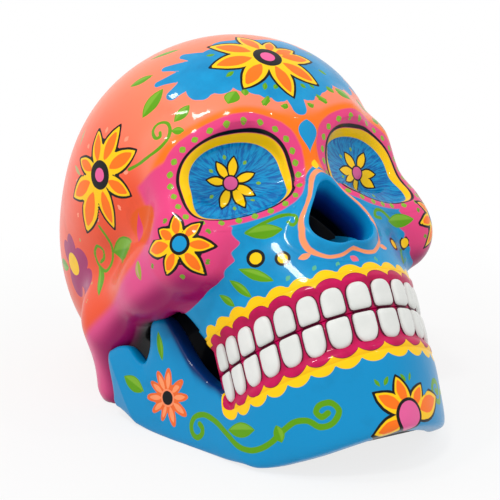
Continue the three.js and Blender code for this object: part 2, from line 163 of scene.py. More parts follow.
TABLE_HALF = 4.0
SHADOW_NEAR, SHADOW_FAR = 0.12, 0.42
SHADOW_SHARE = 0.2
corners = [(x * TABLE_HALF, y * TABLE_HALF, 0) for x, y in ((-1, -1), (1, -1), (1, 1), (-1, 1))]
floor_mesh = bpy.data.meshes.new("table_top")
floor_mesh.from_pydata(corners, [], [(0, 1, 2, 3)])
floor = add("table_top", floor_mesh)
table_paint = bpy.data.materials.new("table_paint")
table_paint.use_nodes = True
tree = table_paint.node_tree
table_shader = tree.nodes["Principled BSDF"]
table_shader.inputs["Base Color"].default_value = (0.8, 0.8, 0.8, 1)
table_shader.inputs["Roughness"].default_value = 0.7
bright = Tone(tree).node("ShaderNodeEmission", values={"Color": (1, 1, 1, 1), "Strength": 1.0})
lit = Tone(tree, table_shader.outputs[0])
across, along, _ = Tone(tree).node("ShaderNodeTexCoord", out=3).parts()
far = (across * across + along * along).math("SQRT").rise(SHADOW_NEAR, SHADOW_FAR)
white = clear_rays(tree) * (far * SHADOW_SHARE + (1 - SHADOW_SHARE))
mixed = lit.node("ShaderNodeMixShader", values={0: white, 1: lit, 2: bright})
tree.links.new(mixed.socket, tree.nodes["Material Output"].inputs["Surface"])
floor_mesh.materials.append(table_paint)

FILL = 0.76
room = bpy.data.worlds.new("room")
bpy.context.scene.world = room
room.use_nodes = True
tree = room.node_tree
air = tree.nodes["Background"]
tree.links.new((clear_rays(tree) * (1 - FILL) + FILL).socket, air.inputs["Strength"])
air.inputs["Color"].default_value = (1, 1, 1, 1)


# The cranium: brain case, brow, cheekbones, cheek arches and upper jaw, one hollow ceramic casting.
# It is cast upright and lies tipped back, resting on the flat ground into the back of the head.
LEAN = np.radians(38.0)
BITE_HEIGHT = 61.0
BACK_SHIFT = 95.8
HEAD_HEART = np.array((0.0, 72.0, 76.0))
ARCH_HALF_WIDTH = 45.0
ARCH_DEPTH = 55.0
ARCH_SHEAR = 0.2
UPPER_GUM_TOP = 14.05
GUM_POCKET = 5.75
PAINT_INSET = 0.25


def vec(*parts):
    """Separate coordinates put together as rows of points."""
    return np.stack(np.broadcast_arrays(*parts), -1)


def laid(p):
    """Own frame in mm to the table in metres: turned back by LEAN about X, then lifted and set in the middle."""
    x, y, z = np.moveaxis(np.asarray(p, float), -1, 0)
    back = y * np.cos(LEAN) + z * np.sin(LEAN) - BACK_SHIFT
    up = z * np.cos(LEAN) - y * np.sin(LEAN) + BITE_HEIGHT
    return vec(x, back, up) / 1000


def turned_upright(way):
    """A direction on the table, turned into the own frame."""
    x, y, z = np.moveaxis(np.asarray(way, float), -1, 0)
    return vec(x, y * np.cos(LEAN) - z * np.sin(LEAN), y * np.sin(LEAN) + z * np.cos(LEAN))


def upright(w):
    """The reverse of laid."""
    return turned_upright(np.asarray(w, float) * 1000 + (0, BACK_SHIFT, -BITE_HEIGHT))


def ball(p, middle, radii):
    """Near-distance to an ellipsoid: scaled radius minus one, over the slope of that radius."""
    q = (p - np.array(middle)) / np.array(radii)
    near = np.linalg.norm(q, axis=-1)
    slope = np.linalg.norm(q / np.array(radii), axis=-1)
    return near * (near - 1) / (slope + 1e-9)


def rod(p, a, b, ra, rb):
    """Distance to a round rod whose radius runs from ra at a to rb at b."""
    a, b = np.array(a, float), np.array(b, float)
    t = np.clip((p - a) @ (b - a) / ((b - a) @ (b - a)), 0, 1)
    return np.linalg.norm(p - a - t[..., None] * (b - a), axis=-1) - ra - t * (rb - ra)


def join(a, b, k):
    """Union of two fields with a fillet of size k: the lesser, minus a parabola where they are close."""
    h = np.maximum(k - np.abs(a - b), 0) / k
    return np.minimum(a, b) - h * h * k / 4


def ease(x, low, high):
    """Smooth step from 0 at low to 1 at high."""
    t = np.clip((x - low) / (high - low), 0, 1)
    return t * t * (3 - 2 * t)


def upper_jaw(p):
    """An upright column with the tooth arch's plan, wider and set back going up."""
    x, y, z = np.moveaxis(p, -1, 0)
    a = ARCH_HALF_WIDTH + np.interp(z, (-2, 12, 28, 45), (0.5, 2, 7, 10))
    b = ARCH_DEPTH - np.interp(z, (0, 13, 27, 45, 60), (0, -2.6, 0.5, 3, 5))
    plan = (np.hypot(x / a, np.minimum(y - ARCH_DEPTH, 0) / b) - 1) * a
    return np.maximum.reduce([plan, 0.25 - z, y - ARCH_DEPTH + 6, z - 56])


BRAIN_CASE = (0, 92, 98), (70, 88, 64)
HEAD_FORMS = {
    "forehead": (ball, (0, 61, 103), (66, 58, 52), 22),
    "back of the head": (ball, (0, 122, 76), (60, 58, 52), 20),
    "brow": (rod, (0, 11, 86), (24, 12, 91), 9, 9, 10),
    "brow's outer half": (rod, (24, 12, 91), (46, 24, 87), 9, 8, 10),
    "outer rim of the socket": (rod, (48, 26, 86), (54, 28, 60), 8, 8, 12),
    "temple behind the rim": (rod, (40, 44, 84), (46, 50, 56), 14, 14, 16),
    "cheekbone": (ball, (50, 29, 45), (13, 15, 15), 14),
    "lower rim of the socket": (rod, (16, 13, 50), (46, 23, 46), 8, 8, 10),
    "bridge of the nose": (rod, (0, 12, 84), (0, 11, 62), 10, 8, 10),
    "front of the cheek arch": (rod, (50, 34, 43), (56, 58, 46), 11, 10, 14),
    "cheek arch": (rod, (56, 58, 46), (58, 98, 52), 10, 13, 16),
    "bone behind the ear": (rod, (56, 104, 47), (53, 124, 29), 13, 13, 18),
    "upper jaw": (upper_jaw, 7),
    "floor of the face": (ball, (0, 60, 64), (42, 48, 28), 10),
}


def head(p):
    """The outside of the cranium, without its sockets: negative inside, positive outside. Each form in turn is
    joined on with its fillet. The paint lies a little inside the casting's own skin."""
    p = np.concatenate((np.abs(p[..., :1]), p[..., 1:]), -1)
    d = ball(p, *BRAIN_CASE)
    for form, *sizes, fillet in HEAD_FORMS.values():
        d = join(d, form(p, *sizes), fillet)
    return d + PAINT_INSET


EYE_MIDDLE = np.array((32.5, 8.7, 68.0))
EYE_TURN = np.arctan(0.298)
EYE_HALF_WIDTH = 23.0
EYE_UP = 16.4
EYE_DOWN = 17.8
EYE_OUT = np.array((np.cos(EYE_TURN), np.sin(EYE_TURN), 0.0))
EYE_BACK = np.array((-np.sin(EYE_TURN), np.cos(EYE_TURN), 0.0))


def eye_power(c, s):
    """The superellipse's power in each quarter of the outline: roundest at the upper outer corner."""
    return np.where(c > 0, np.where(s > 0, 2.1, 4.5), 2.6)


def eye_place(p):
    """Angle round the left socket, share of its outline (1 on the rim) and depth behind the rim plane."""
    q = np.concatenate((np.abs(p[..., :1]), p[..., 1:]), -1) - EYE_MIDDLE
    u, v = q @ EYE_OUT, q[..., 2]
    c, s = u / EYE_HALF_WIDTH, v / np.where(v > 0, EYE_UP, EYE_DOWN)
    turn = np.arctan2(s, c)
    power = eye_power(c, s)
    share = (np.abs(c) ** power + np.abs(s) ** power) ** (1 / power)
    return turn, share, q @ EYE_BACK


NOSE_MIDDLE_Z = 36.5
NOSE_HALF_WIDTH = 13.5
NOSE_UP = 18.5
NOSE_DOWN = 9.5
NOSE_TAPER = 0.42


def nose_width(v):
    """Half width of the nose opening at a height over its middle: narrower going up."""
    return NOSE_HALF_WIDTH * (1.0 - NOSE_TAPER * ease(v, 0, NOSE_UP))


def nose_share(p):
    """Share of the pear-shaped nose opening's outline in front view: 1 on the edge, with two lobes below."""
    x, v = p[..., 0], p[..., 2] - NOSE_MIDDLE_Z
    s = v / np.where(v > 0, NOSE_UP, NOSE_DOWN)
    wide = nose_width(v)
    notch = 0.16 * np.exp(-(x / 4.0) ** 2) * (v < 0)
    return np.sqrt((x / wide) ** 2 + (s * (1 + notch)) ** 2), np.arctan2(s, np.abs(x) / wide)


def cast_skin(p):
    """The cranium with rough pockets where the sockets, the nose and the upper gum are set in."""
    d = head(p)
    _, share, depth = eye_place(p)
    d = np.maximum(d, np.minimum((1.13 - share) * 18, 15 - depth))
    nose, _ = nose_share(p)
    d = np.maximum(d, np.minimum((1.3 - nose) * 11, 28 - p[..., 1]))
    x, y, z = np.moveaxis(p, -1, 0)
    plan = (np.hypot(x / ARCH_HALF_WIDTH, np.minimum(y + ARCH_SHEAR * z - ARCH_DEPTH, 0) / ARCH_DEPTH) - 1)
    return np.maximum(d, np.minimum(UPPER_GUM_TOP - z, plan * ARCH_HALF_WIDTH + GUM_POCKET))


WALK_STEPS = 220
HALVINGS = 14


def first_hit(field, start, way, reach):
    """Distance along each way, walked inwards from reach to the first point of the field, then halved closer."""
    outer = np.full(way.shape[:-1], float(reach))
    inner = outer.copy()
    for _ in range(WALK_STEPS):
        d = field(start + inner[..., None] * way)
        going = d > 0
        if not going.any():
            break
        outer = np.where(going, inner, outer)
        inner = np.where(going, inner - np.clip(0.55 * d, 0.25, 8), inner)
    for _ in range(HALVINGS):
        middle = (outer + inner) / 2
        out = field(start + middle[..., None] * way) > 0
        outer, inner = np.where(out, middle, outer), np.where(out, inner, middle)
    return inner


def sheet(name, grid, closed, poles, flip=False):
    """A mesh from a grid of points, rows by columns: closed round the columns, and both end rows made poles."""
    rows, cols = grid.shape[:2]
    if poles:
        points = np.concatenate((grid[:1, 0], grid[1:-1].reshape(-1, 3), grid[-1:, 0]))
        rows, first = rows - 2, 1
    else:
        points, first = grid.reshape(-1, 3), 0
    i, j = np.meshgrid(np.arange(rows - 1), np.arange(cols if closed else cols - 1), indexing="ij")
    k = (j + 1) % cols
    quads = vec(i * cols + j, i * cols + k, (i + 1) * cols + k, (i + 1) * cols + j)
    faces = (quads.reshape(-1, 4) + first).tolist()
    if poles:
        j = np.arange(cols)
        k = (j + 1) % cols
        last = len(points) - 1
        faces += vec(0 * j, k + 1, j + 1).tolist()
        faces += vec(0 * j + last, last - cols + j, last - cols + k).tolist()
    if flip:
        faces = [f[::-1] for f in faces]
    mesh = bpy.data.meshes.new(name)
    mesh.from_pydata(points.tolist(), [], faces)
    mesh.polygons.foreach_set("use_smooth", np.ones(len(mesh.polygons), bool))
    mesh.update()
    piece = add(name, mesh)
    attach(piece, "root")
    return piece


def on_table(p):
    """Laid points, with whatever would sink into the table pressed flat on it."""
    w = laid(p)
    w[..., 2] = np.maximum(w[..., 2], 0)
    return w


SKIN_TURNS = 430
SKIN_RINGS = 228
SKIN_REACH = 175
polar = np.pi * np.linspace(0, 1, SKIN_RINGS + 1)[:, None] ** 1.2
turn = 2 * np.pi * np.arange(SKIN_TURNS)[None] / SKIN_TURNS
way = vec(np.sin(polar) * np.cos(turn), -np.cos(polar) + 0 * turn, np.sin(polar) * np.sin(turn))
skin = HEAD_HEART + first_hit(cast_skin, HEAD_HEART, way, SKIN_REACH)[..., None] * way
cranium = sheet("cranium_skin", on_table(skin), True, True, True)
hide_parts("cranium")
painted = [cranium]


# The eye sockets: each a painted rim rolled over into a sloping wall, and a shallow dish at the bottom.
# Rim and wall are ceramic, cast with the face; the dish is a piece of its own here, with its blue and its flower.
EYE_DEPTH = 5.5
EYE_DISH = 3.0
FACE_REACH = 22
SOCKET_TURNS = 220
RIM_SHARES, RIM_RINGS = (1.32, 0.74), 86
DISH_SHARES, DISH_RINGS = (0.86, 0.0), 50
EYE_FLOOR = {"outer": 0.76, "inner": 0.9, "upper": 0.86, "lower": 0.88}
LINE_OUTER = {"outer": 1.022, "inner": 1.055, "upper": 1.068, "lower": 1.066}
LINE_INNER = {"outer": 0.964, "inner": 0.99, "upper": 1.022, "lower": 1.044}
YELLOW_INNER = {"outer": 0.79, "inner": 0.85, "upper": 0.915, "lower": 1.08}


def round_eye(turn, sides):
    """A value that goes round the socket: a blend of its four sides' values by the squares of cosine and sine."""
    c, s = np.cos(turn), np.sin(turn)
    side = np.where(c > 0, sides["outer"], sides["inner"])
    tall = np.where(s > 0, sides["upper"], sides["lower"])
    return side * c * c + tall * s * s


def eye_spot(turn, share):
    """Point of the left socket's rim plane at an angle and share of the outline."""
    c, s = np.cos(turn), np.sin(turn)
    power = eye_power(c, s)
    base = share * (np.abs(c) ** power + np.abs(s) ** power) ** (-1 / power)
    up = np.where(s > 0, EYE_UP, EYE_DOWN)
    out = (base * EYE_HALF_WIDTH * c)[..., None] * EYE_OUT
    return EYE_MIDDLE + out + (base * up * s)[..., None] * np.array((0, 0, 1))


def socket(share_from, share_to, rings):
    """Grid over a socket: the deeper of the skin and the sloping wall, over the dish, both with fillets."""
    turn = 2 * np.pi * np.arange(SOCKET_TURNS)[None] / SOCKET_TURNS + np.zeros((rings, 1))
    share = np.linspace(share_from, share_to, rings)[:, None] + 0 * turn
    plane = eye_spot(turn, share)
    depth_of_skin = -first_hit(head, plane, 0 * plane - EYE_BACK, FACE_REACH)
    floor_share = round_eye(turn, EYE_FLOOR)
    wall = EYE_DEPTH * (1 - share) / (1 - floor_share)
    dish = EYE_DEPTH + EYE_DISH * (1 - np.minimum(share / floor_share, 1.3) ** 2)
    depth = -join(-depth_of_skin + 0.06, -join(wall, dish, 1.6), 2.2)
    return plane + depth[..., None] * EYE_BACK


MIRROR = np.array((-1.0, 1.0, 1.0))
rim_grid = socket(*RIM_SHARES, RIM_RINGS)
dish_grid = socket(*DISH_SHARES, DISH_RINGS)
rims = []
dishes = []
for side, way_round in (("left", 1.0), ("right", -1.0)):
    mirror = MIRROR if way_round < 0 else np.ones(3)
    rim = sheet("eye_rim_" + side, laid(rim_grid * mirror), True, False, way_round < 0)
    painted.append(rim)
    rims.append(rim)
    set_in = (dish_grid + 0.05 * EYE_BACK) * mirror
    dish = sheet("eye_dish_" + side + "_paint", laid(set_in), True, False, way_round < 0)
    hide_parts("eye_dish_" + side)
    dishes.append(dish)


# The nose: a pear-shaped opening with a swollen lip, leading into a blind dark recess.
# Lip and recess are ceramic, cast with the face and painted along with it.
NOSE_LIP = 4.2
NOSE_RECESS = 23.0
NOSE_TURNS = 160
LIP_RINGS, RECESS_RINGS = 62, 34
LIP_SHARES, RECESS_SHARES = (1.75, 0.86), (0.85, 0.0)
turn = 2 * np.pi * np.arange(NOSE_TURNS)[None] / NOSE_TURNS + np.zeros((LIP_RINGS + RECESS_RINGS, 1))
share = np.concatenate((np.linspace(*LIP_SHARES, LIP_RINGS), np.linspace(*RECESS_SHARES, RECESS_RINGS)))
share = share[:, None] + 0 * turn
tall = np.where(np.sin(turn) > 0, NOSE_UP, NOSE_DOWN)
height = share * tall * np.sin(turn)
across = share * np.cos(turn) * nose_width(height)
plane = vec(across, 0 * across, NOSE_MIDDLE_Z + height)
skin_y = -first_hit(head, plane, np.broadcast_to((0.0, -1.0, 0.0), plane.shape), FACE_REACH)
edge, _ = nose_share(plane)
lip = NOSE_LIP * np.exp(-(np.maximum(edge - 1.12, 0) / 0.3) ** 2)
lip = lip * ease(edge, 0.9, 1.1) * ease(LIP_SHARES[0] - edge, 0, 0.2)
wall = NOSE_RECESS * (1.02 - edge) / 0.2 + 3
recess = np.minimum(wall, NOSE_RECESS - 3 * edge)
plane[..., 1] = -join(-(skin_y - lip - 0.06), -join(recess, 0 * recess + NOSE_RECESS, 4.0), 2.4)
nose = sheet("nose_lip", laid(plane), True, False)
painted.append(nose)


# The lower jaw: chin, jaw body and the two upright arms, in ceramic, cast on to the cranium at the arm tops.
# Its section is a rounded bar carried round the tooth arch and back along the arms.
JAW_WALL = 11.0
ARM_WALL = 8.0
ARM_START_Y = 52.0
ARM_LENGTH = 57.0
ARM_FLARE = 0.4
FLARE_LENGTH = 47.0
LOWER_GUM_BOTTOM = -15.05
JAW_LOW = ((-52, -40, -7, 4, 35, 45, 53, 57), (-45, -44.5, -39, -33.5, -10, -1.5, 8, 15))
JAW_HIGH = ((-52, -4, -2.5, -0.7, 4, 6, 7.8, 9, 10, 10.6, 11.2, 13, 17, 21, 23, 25, 27.5, 30, 32.8, 34.4,
             35.6, 38.3, 42.3, 47.4, 50, 51.5, 54, 57),
            (-12.6, -12.6, -9, -5.8, 0.2, 4.7, 9, 13, 17.6, 24, 31, 34.5, 36, 35, 31.5, 27.3, 24.6, 22.4, 21.9,
             25.9, 31, 33.4, 34.9, 35.1, 33.5, 29, 22, 17))
JAW_STATIONS, JAW_POINTS = 521, 130
SECTION_POINTS = 4000
SECTION_TALL = 38
FINER_OUTSIDE = 1.6
BODY_SHARE = 0.52
BODY_SWEEP = np.radians(87)
BEND_SHARE = 0.09
station = np.linspace(-1, 1, JAW_STATIONS)[:, None]
fine = 2 * np.pi * np.arange(SECTION_POINTS) / SECTION_POINTS
section = np.stack((0.5 - 0.5 * np.sign(np.cos(fine)) * np.abs(np.cos(fine)) ** 0.5,
                    0.5 + 0.5 * np.sign(np.sin(fine)) * np.abs(np.sin(fine)) ** 0.5))
pace = np.hypot(np.diff(section[0]) * JAW_WALL, np.diff(section[1]) * SECTION_TALL)
along = np.concatenate(([0], np.cumsum(pace * (FINER_OUTSIDE - section[0, 1:]))))
even = np.arange(JAW_POINTS) * along[-1] / JAW_POINTS
out_share, up_share = (np.interp(even, along, v)[None] for v in section)
t = np.abs(station)
angle = np.minimum(t / BODY_SHARE, 1) * BODY_SWEEP
run = np.clip((t - BODY_SHARE) / (1 - BODY_SHARE), 0, 1) * ARM_LENGTH
on_arm = t >= BODY_SHARE
pace = np.hypot(np.sin(angle) / ARCH_HALF_WIDTH, np.cos(angle) / ARCH_DEPTH)
flare = ARCH_HALF_WIDTH + ARM_FLARE * np.minimum(run, FLARE_LENGTH)
x0 = np.where(on_arm, flare, ARCH_HALF_WIDTH * np.sin(angle))
y0 = np.where(on_arm, ARM_START_Y + run, ARCH_DEPTH * (1 - np.cos(angle)))
nx = np.where(on_arm, 1.0, np.sin(angle) / ARCH_HALF_WIDTH / pace)
ny = np.where(on_arm, -ARM_FLARE, -np.cos(angle) / ARCH_DEPTH / pace)
behind = y0 - ARM_START_Y
low = np.interp(behind, *JAW_LOW)
high = np.interp(behind, *JAW_HIGH)


def soft(v, half):
    """Values along the jaw, evened over a run of stations so that no corner is left in its edges."""
    kernel = np.hanning(2 * half + 3)[1:-1]
    return np.convolve(np.pad(v[:, 0], half, mode="edge"), kernel / kernel.sum(), "valid")[:, None]


low, high, nx, ny = soft(low, 20), soft(high, 4), soft(nx, 36), soft(ny, 36)
bend = np.exp(-((t - BODY_SHARE) / BEND_SHARE) ** 2)
x0, y0 = x0 + (soft(x0, 40) - x0) * bend, y0 + (soft(y0, 40) - y0) * bend
z = low + (high - low) * up_share
wall = JAW_WALL + (ARM_WALL - JAW_WALL) * ease(behind, -12, 10)
swell = 2.2 - PAINT_INSET + 1.5 * ease(-z, 5, 40) + 0.1 * np.maximum(z, 0) * ease(behind, -2, 18)
w = swell - out_share * wall
set_back = np.where(on_arm, 0, (7 + 4 * np.sin(2 * angle)) * ease(angle, 1.5, 1))
set_back = soft(set_back, 12) * ease(-z, 8, 45)
fore = ARCH_SHEAR * np.clip(z, -14, 0) * ease(behind, 4, -12)
side = np.where(station < 0, -1.0, 1.0)
bar = vec(side * (x0 + nx * w), y0 + ny * w + set_back - fore, z)
ends = bar[[0, -1]].mean(1, keepdims=True) + 0 * bar[[0, -1]]
bar = np.concatenate((ends[:1], bar, ends[1:]))
jaw = sheet("lower_jaw_skin", on_table(bar), True, True, True)
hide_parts("lower_jaw")
painted.append(jaw)


# The gums: two magenta strips that follow the tooth arch, each with a rolled outer rim.
# They are ceramic, cast with the jaws, then painted by hand and varnished.
GUM_FACE = -0.3
GUM_BACK = -5.5
BITE_GAP = 0.5
UPPER_TOOTH = 10.6
LOWER_TOOTH = 11.6
TOOTH_WIDTHS = (10.8, 10.3, 9.6, 9.6, 9.2, 8.6, 7.6, 6.8)
GUM_STATIONS = 301
GUM_PAST_TEETH = np.radians(2.5)
GUM_UP = np.array((0, 0, 0.25, 0.5, 0.68, 0.74, 0.79, 0.84, 0.89, 0.94, 1.0, 1.06, 1.14, 1.14))[None]
GUM_ROLL = np.array((GUM_BACK,) + (GUM_FACE,) * 4 + (0.0, 0.45, 0.8, 1.0, 1.0, 0.9, 0.5, -0.4, GUM_BACK))[None]


def arch_point(angle, out, z):
    """A point beside the elliptical tooth arch: angle from the front, mm outwards, height; it leans forward."""
    nx, ny = np.sin(angle) / ARCH_HALF_WIDTH, -np.cos(angle) / ARCH_DEPTH
    size = np.hypot(nx, ny)
    x = ARCH_HALF_WIDTH * np.sin(angle) + out * nx / size
    y = ARCH_DEPTH * (1 - np.cos(angle)) + out * ny / size - ARCH_SHEAR * z
    return vec(x, y, z)


def arch_pace(angle):
    """How many mm of the tooth arch go with a small turn at an angle, per radian."""
    return np.hypot(ARCH_HALF_WIDTH * np.cos(angle), ARCH_DEPTH * np.sin(angle))


tooth_angles, tooth_seams, tooth_edge = [], [], 0.0
for width in TOOTH_WIDTHS:
    middle = tooth_edge + width / 2 / arch_pace(tooth_edge)
    tooth_angles.append(middle)
    tooth_edge += width / arch_pace(middle)
    tooth_seams.append(tooth_edge)
gum_end = tooth_edge + GUM_PAST_TEETH


def tooth_lobe(angle):
    """How high a tooth's scallop stands at an angle of the arch: 1 at the tooth's middle, 0 between two teeth."""
    seams = np.concatenate(([0.0], tooth_seams))
    place = np.interp(np.abs(angle), seams, np.arange(len(seams)))
    return np.abs(np.sin(np.pi * place)) ** 0.6


def keep(piece, name, values):
    """Stores numbers on a piece's points, one or three each."""
    kind, key = ("FLOAT", "value") if values.ndim == 1 else ("FLOAT_VECTOR", "vector")
    layer = piece.data.attributes.new(name, kind, "POINT")
    layer.data.foreach_set(key, np.ascontiguousarray(values, np.float32).ravel())


def tint(code):
    """A colour code as written on a paint pot, turned to linear light."""
    c = np.array([(code >> s & 255) / 255 for s in (16, 8, 0)])
    return tuple(np.where(c < 0.04045, c / 12.92, ((c + 0.055) / 1.055) ** 2.4)) + (1.0,)


BRUSH_GRAIN = 260.0
VARNISH_GRAIN = 75.0
ROUGH_SWING = 0.14
RIPPLE_DEPTH = 0.0006


def glossy(name, colour_of, rough=0.32, coat=0.25, ripple=0.25):
    """Painted ceramic under varnish: colour_of draws the colour, a fine ripple is the brush and the varnish."""
    material = bpy.data.materials.new(name)
    material.use_nodes = True
    tree = material.node_tree
    shader = tree.nodes["Principled BSDF"]
    start = Tone(tree)
    place = start.node("ShaderNodeTexCoord", out=3)
    colour = colour_of(start, place)
    tree.links.new(colour.socket, shader.inputs["Base Color"])
    brush = start.noise(place, BRUSH_GRAIN, 3.0)
    tree.links.new((brush * ROUGH_SWING + (rough - ROUGH_SWING / 2)).socket, shader.inputs["Roughness"])
    shader.inputs["Coat Weight"].default_value = coat
    shader.inputs["Coat Roughness"].default_value = 0.04
    shader.inputs["IOR"].default_value = 1.5
    shader.inputs["Specular IOR Level"].default_value = 0.08
    skin = start.noise(place, VARNISH_GRAIN, 2.0)
    bump = start.node("ShaderNodeBump", values={
        "Strength": ripple, "Distance": RIPPLE_DEPTH, "Height": skin + brush * 0.25})
    tree.links.new(bump.socket, shader.inputs["Normal"])
    return material


def gum_colour(start, place):
    """Magenta, darker and paler in patches from noise, with a dark line along its scalloped edge against the
    yellow border.
    """
    cloud = start.noise(place, 120.0, 4.0, 0.6)
    gum = cloud.rise(0.3, 0.7).between(tint(0xb40048), tint(0xcc0458))
    border = start.attribute("border", 2)
    gum = gum.over(tint(0x6a0030), border.rise(-0.35, -0.05))
    return gum.over(tint(0xffc400), border.rise(-0.02, 0.12))


gum_paint = glossy("gum_magenta", gum_colour)
angle = np.linspace(-gum_end, gum_end, GUM_STATIONS)[:, None]
GUM_EDGES = {"upper_gum": (BITE_GAP / 2, UPPER_GUM_TOP), "lower_gum": (-BITE_GAP / 2, LOWER_GUM_BOTTOM)}
for name, (near, far) in GUM_EDGES.items():
    flush = 2.3 * np.sin(angle) ** 2 - 0.35 * np.cos(angle) ** 2 if near > 0 else 1.5 + 0 * angle
    out = GUM_ROLL + ease(GUM_UP, 0.8, 1.0) * (GUM_ROLL > GUM_BACK) * (flush - 0.9)
    height = near + (far - near) * GUM_UP
    strip = arch_point(angle, out, height)
    caps = strip[[0, -1]].mean(1, keepdims=True) + 0 * strip[[0, -1]]
    gum = sheet(name + "_roll", laid(np.concatenate((caps[:1], strip, caps[1:]))), True, True, near > 0)
    border = np.abs(height) - np.abs(far) + 2.2 - 2.8 * tooth_lobe(angle)
    keep(gum, "border", np.concatenate(([-1.0], border.ravel(), [-1.0])))
    gum.data.materials.append(gum_paint)
    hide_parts(name)


# The teeth: white tiles with rounded roots and straight biting edges, standing side by side in the gums.
# Each is a ceramic relief under thick paint, cast with its gum, with a thin dark line left round it.
TOOTH_SPACE = 1.4
TOOTH_BULGE = 1.5
TOOTH_DEPTH = 3.2
TOOTH_BACK = -TOOTH_DEPTH / TOOTH_BULGE
TOOTH_LINE = 0.35
TOOTH_TURNS = 40
HALF_ROW = len(TOOTH_WIDTHS)
ROOT_POWER = {"upper": 2.5, "lower": 2.3}
EDGE_POWER = 7.0


def unit(v):
    """A direction, or rows of them, at length 1."""
    return v / np.linalg.norm(v, axis=-1, keepdims=True)


def tooth_colour(start, place):
    """Warm white, a little greyer in patches from noise, with the dark line at its foot."""
    cloud = start.noise(place, 90.0, 3.0)
    white = cloud.rise(0.3, 0.7).between(tint(0xdcdeda), tint(0xe6e7e3))
    return white.over(tint(0x5a0a2c), start.attribute("foot", 2).rise(0.55, 0.75))


tooth_white = glossy("tooth_white", tooth_colour, rough=0.28, ripple=0.12)
turn = 2 * np.pi * np.arange(TOOTH_TURNS)[None] / TOOTH_TURNS
ring_share = np.array((0.0, 0.3, 0.55, 0.75, 0.88, 0.95, 0.985, 1.0, 1.005, 1.085, 1.085, 0.0))[:, None]
ring_out = np.array((1.0, 0.99, 0.95, 0.86, 0.7, 0.48, 0.2, 0.0, -0.1, -0.1, TOOTH_BACK, TOOTH_BACK))[:, None]
ring_foot = np.array((0, 0, 0, 0, 0, 0, 0, 0.5, 1, 1, 1, 1.0))
for row, up, tall in (("upper", 1.0, UPPER_TOOTH - TOOTH_LINE), ("lower", -1.0, LOWER_TOOTH - TOOTH_LINE)):
    near = up * (BITE_GAP / 2 + TOOTH_LINE)
    for number in range(2 * HALF_ROW):
        k = number - HALF_ROW if number >= HALF_ROW else HALF_ROW - 1 - number
        middle_angle = tooth_angles[k] * (-1 if number < HALF_ROW else 1)
        c, s = np.cos(turn), np.sin(turn)
        power = np.where(s * up > 0, ROOT_POWER[row], EDGE_POWER)
        base = (np.abs(c) ** power + np.abs(s) ** power) ** (-1 / power)
        u = ring_share * base * c * (TOOTH_WIDTHS[k] - TOOTH_SPACE) / 2
        v = ring_share * base * s * tall / 2
        middle = near + up * tall / 2
        tile = arch_point(middle_angle + 0 * u, TOOTH_BULGE * ring_out + 0 * u, middle + v)
        lie = np.array((ARCH_HALF_WIDTH * np.cos(middle_angle), ARCH_DEPTH * np.sin(middle_angle), 0))
        tile = tile + u[..., None] * unit(lie)
        node = "%s_tooth_%02d" % (row, number + 1)
        tooth = sheet(node + "_tile", laid(tile), True, True, True)
        keep(tooth, "foot", np.concatenate(([0.0], np.repeat(ring_foot[1:-1], TOOTH_TURNS), [1.0])))
        tooth.data.materials.append(tooth_white)
        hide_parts(node)


# The ornament: brush-painted flowers, leaves, vines, dots and scalloped borders over the ground colours.
# It is paint alone: each mark is kept as distances in mm on the surface's points, and the shader cuts its edge.
CORAL, SALMON, ORANGE = tint(0xfb6a50), tint(0xff8664), tint(0xff7612)
RED_ORANGE, TEMPLE_SHADE_ORANGE = tint(0xee5430), tint(0xe65800)
PINK, ROSE, MAGENTA = tint(0xe0508a), tint(0xe6427f), tint(0x9c0a5c)
BLUE, DEEP_BLUE, NIGHT = tint(0x0a93cc), tint(0x063c8c), tint(0x02060c)
YELLOW, PEACH, BLACK = tint(0xffcc00), tint(0xff9a66), tint(0x050608)
LEAF, LEAF_LIGHT, PURPLE = tint(0x5c9e00), tint(0x94c43e), tint(0xa42468)


def mesh_points(piece):
    """Points and normals of a piece, as they lie on the table."""
    co, no = np.zeros((2, len(piece.data.vertices) * 3))
    piece.data.vertices.foreach_get("co", co)
    piece.data.vertex_normals.foreach_get("vector", no)
    return co.reshape(-1, 3), no.reshape(-1, 3)


forms = painted + dishes
tree_points, tree_faces = [], []
for piece in forms:
    base = len(tree_points)
    tree_points += mesh_points(piece)[0].tolist()
    tree_faces += [[base + v for v in p.vertices] for p in piece.data.polygons]
ground_tree = BVHTree.FromPolygons(tree_points, tree_faces)
ahead = unit(CAMERA_AIM - CAMERA_PLACE)
right = unit(np.cross(ahead, (0, 0, 1)))
above = np.cross(right, ahead)


def cast(start, way):
    """Point and outward normal, in the own frame, where a line on the stage first meets the skull."""
    hit, normal, _, _ = ground_tree.ray_cast(Vector(start), Vector(way).normalized())
    if hit is None:
        raise ValueError("no skull from %s along %s" % (start, way))
    return upright(hit), turned_upright(normal)


def spot(pixel):
    """The same where a picture place falls on the skull."""
    step = np.array(pixel, float) - PICTURE / 2
    return cast(CAMERA_PLACE, ahead + (right * step[0] - above * step[1]) * FILM / LENS / PICTURE)


def unseen_spot(way):
    """The same where a direction from the heart of the head, in the own frame, leaves it."""
    heart = HEAD_HEART[None]
    outside = laid(heart + 200 * np.array(way)[None])[0]
    return cast(outside, laid(heart)[0] - outside)


def flat_frame(middle, normal):
    """Two directions in the surface at a point: across and up."""
    n = unit(normal)
    up = np.array((0, 0, 1.0)) - n * n[2]
    if np.linalg.norm(up) < 0.2:
        up = np.array((0, -1.0, 0)) + n * n[1]
    up = unit(up)
    return middle, n, np.cross(up, n), up


def twin(mark):
    """The same mark on the other side of the face."""
    other = dict(mark)
    other["frame"] = tuple(v * MIRROR for v in mark["frame"])
    return other


def turned_to_viewer(point, normal, facing):
    """A normal with a share of the way to the camera added to it."""
    return normal + facing * unit(upright(CAMERA_PLACE) - point)


flowers = []


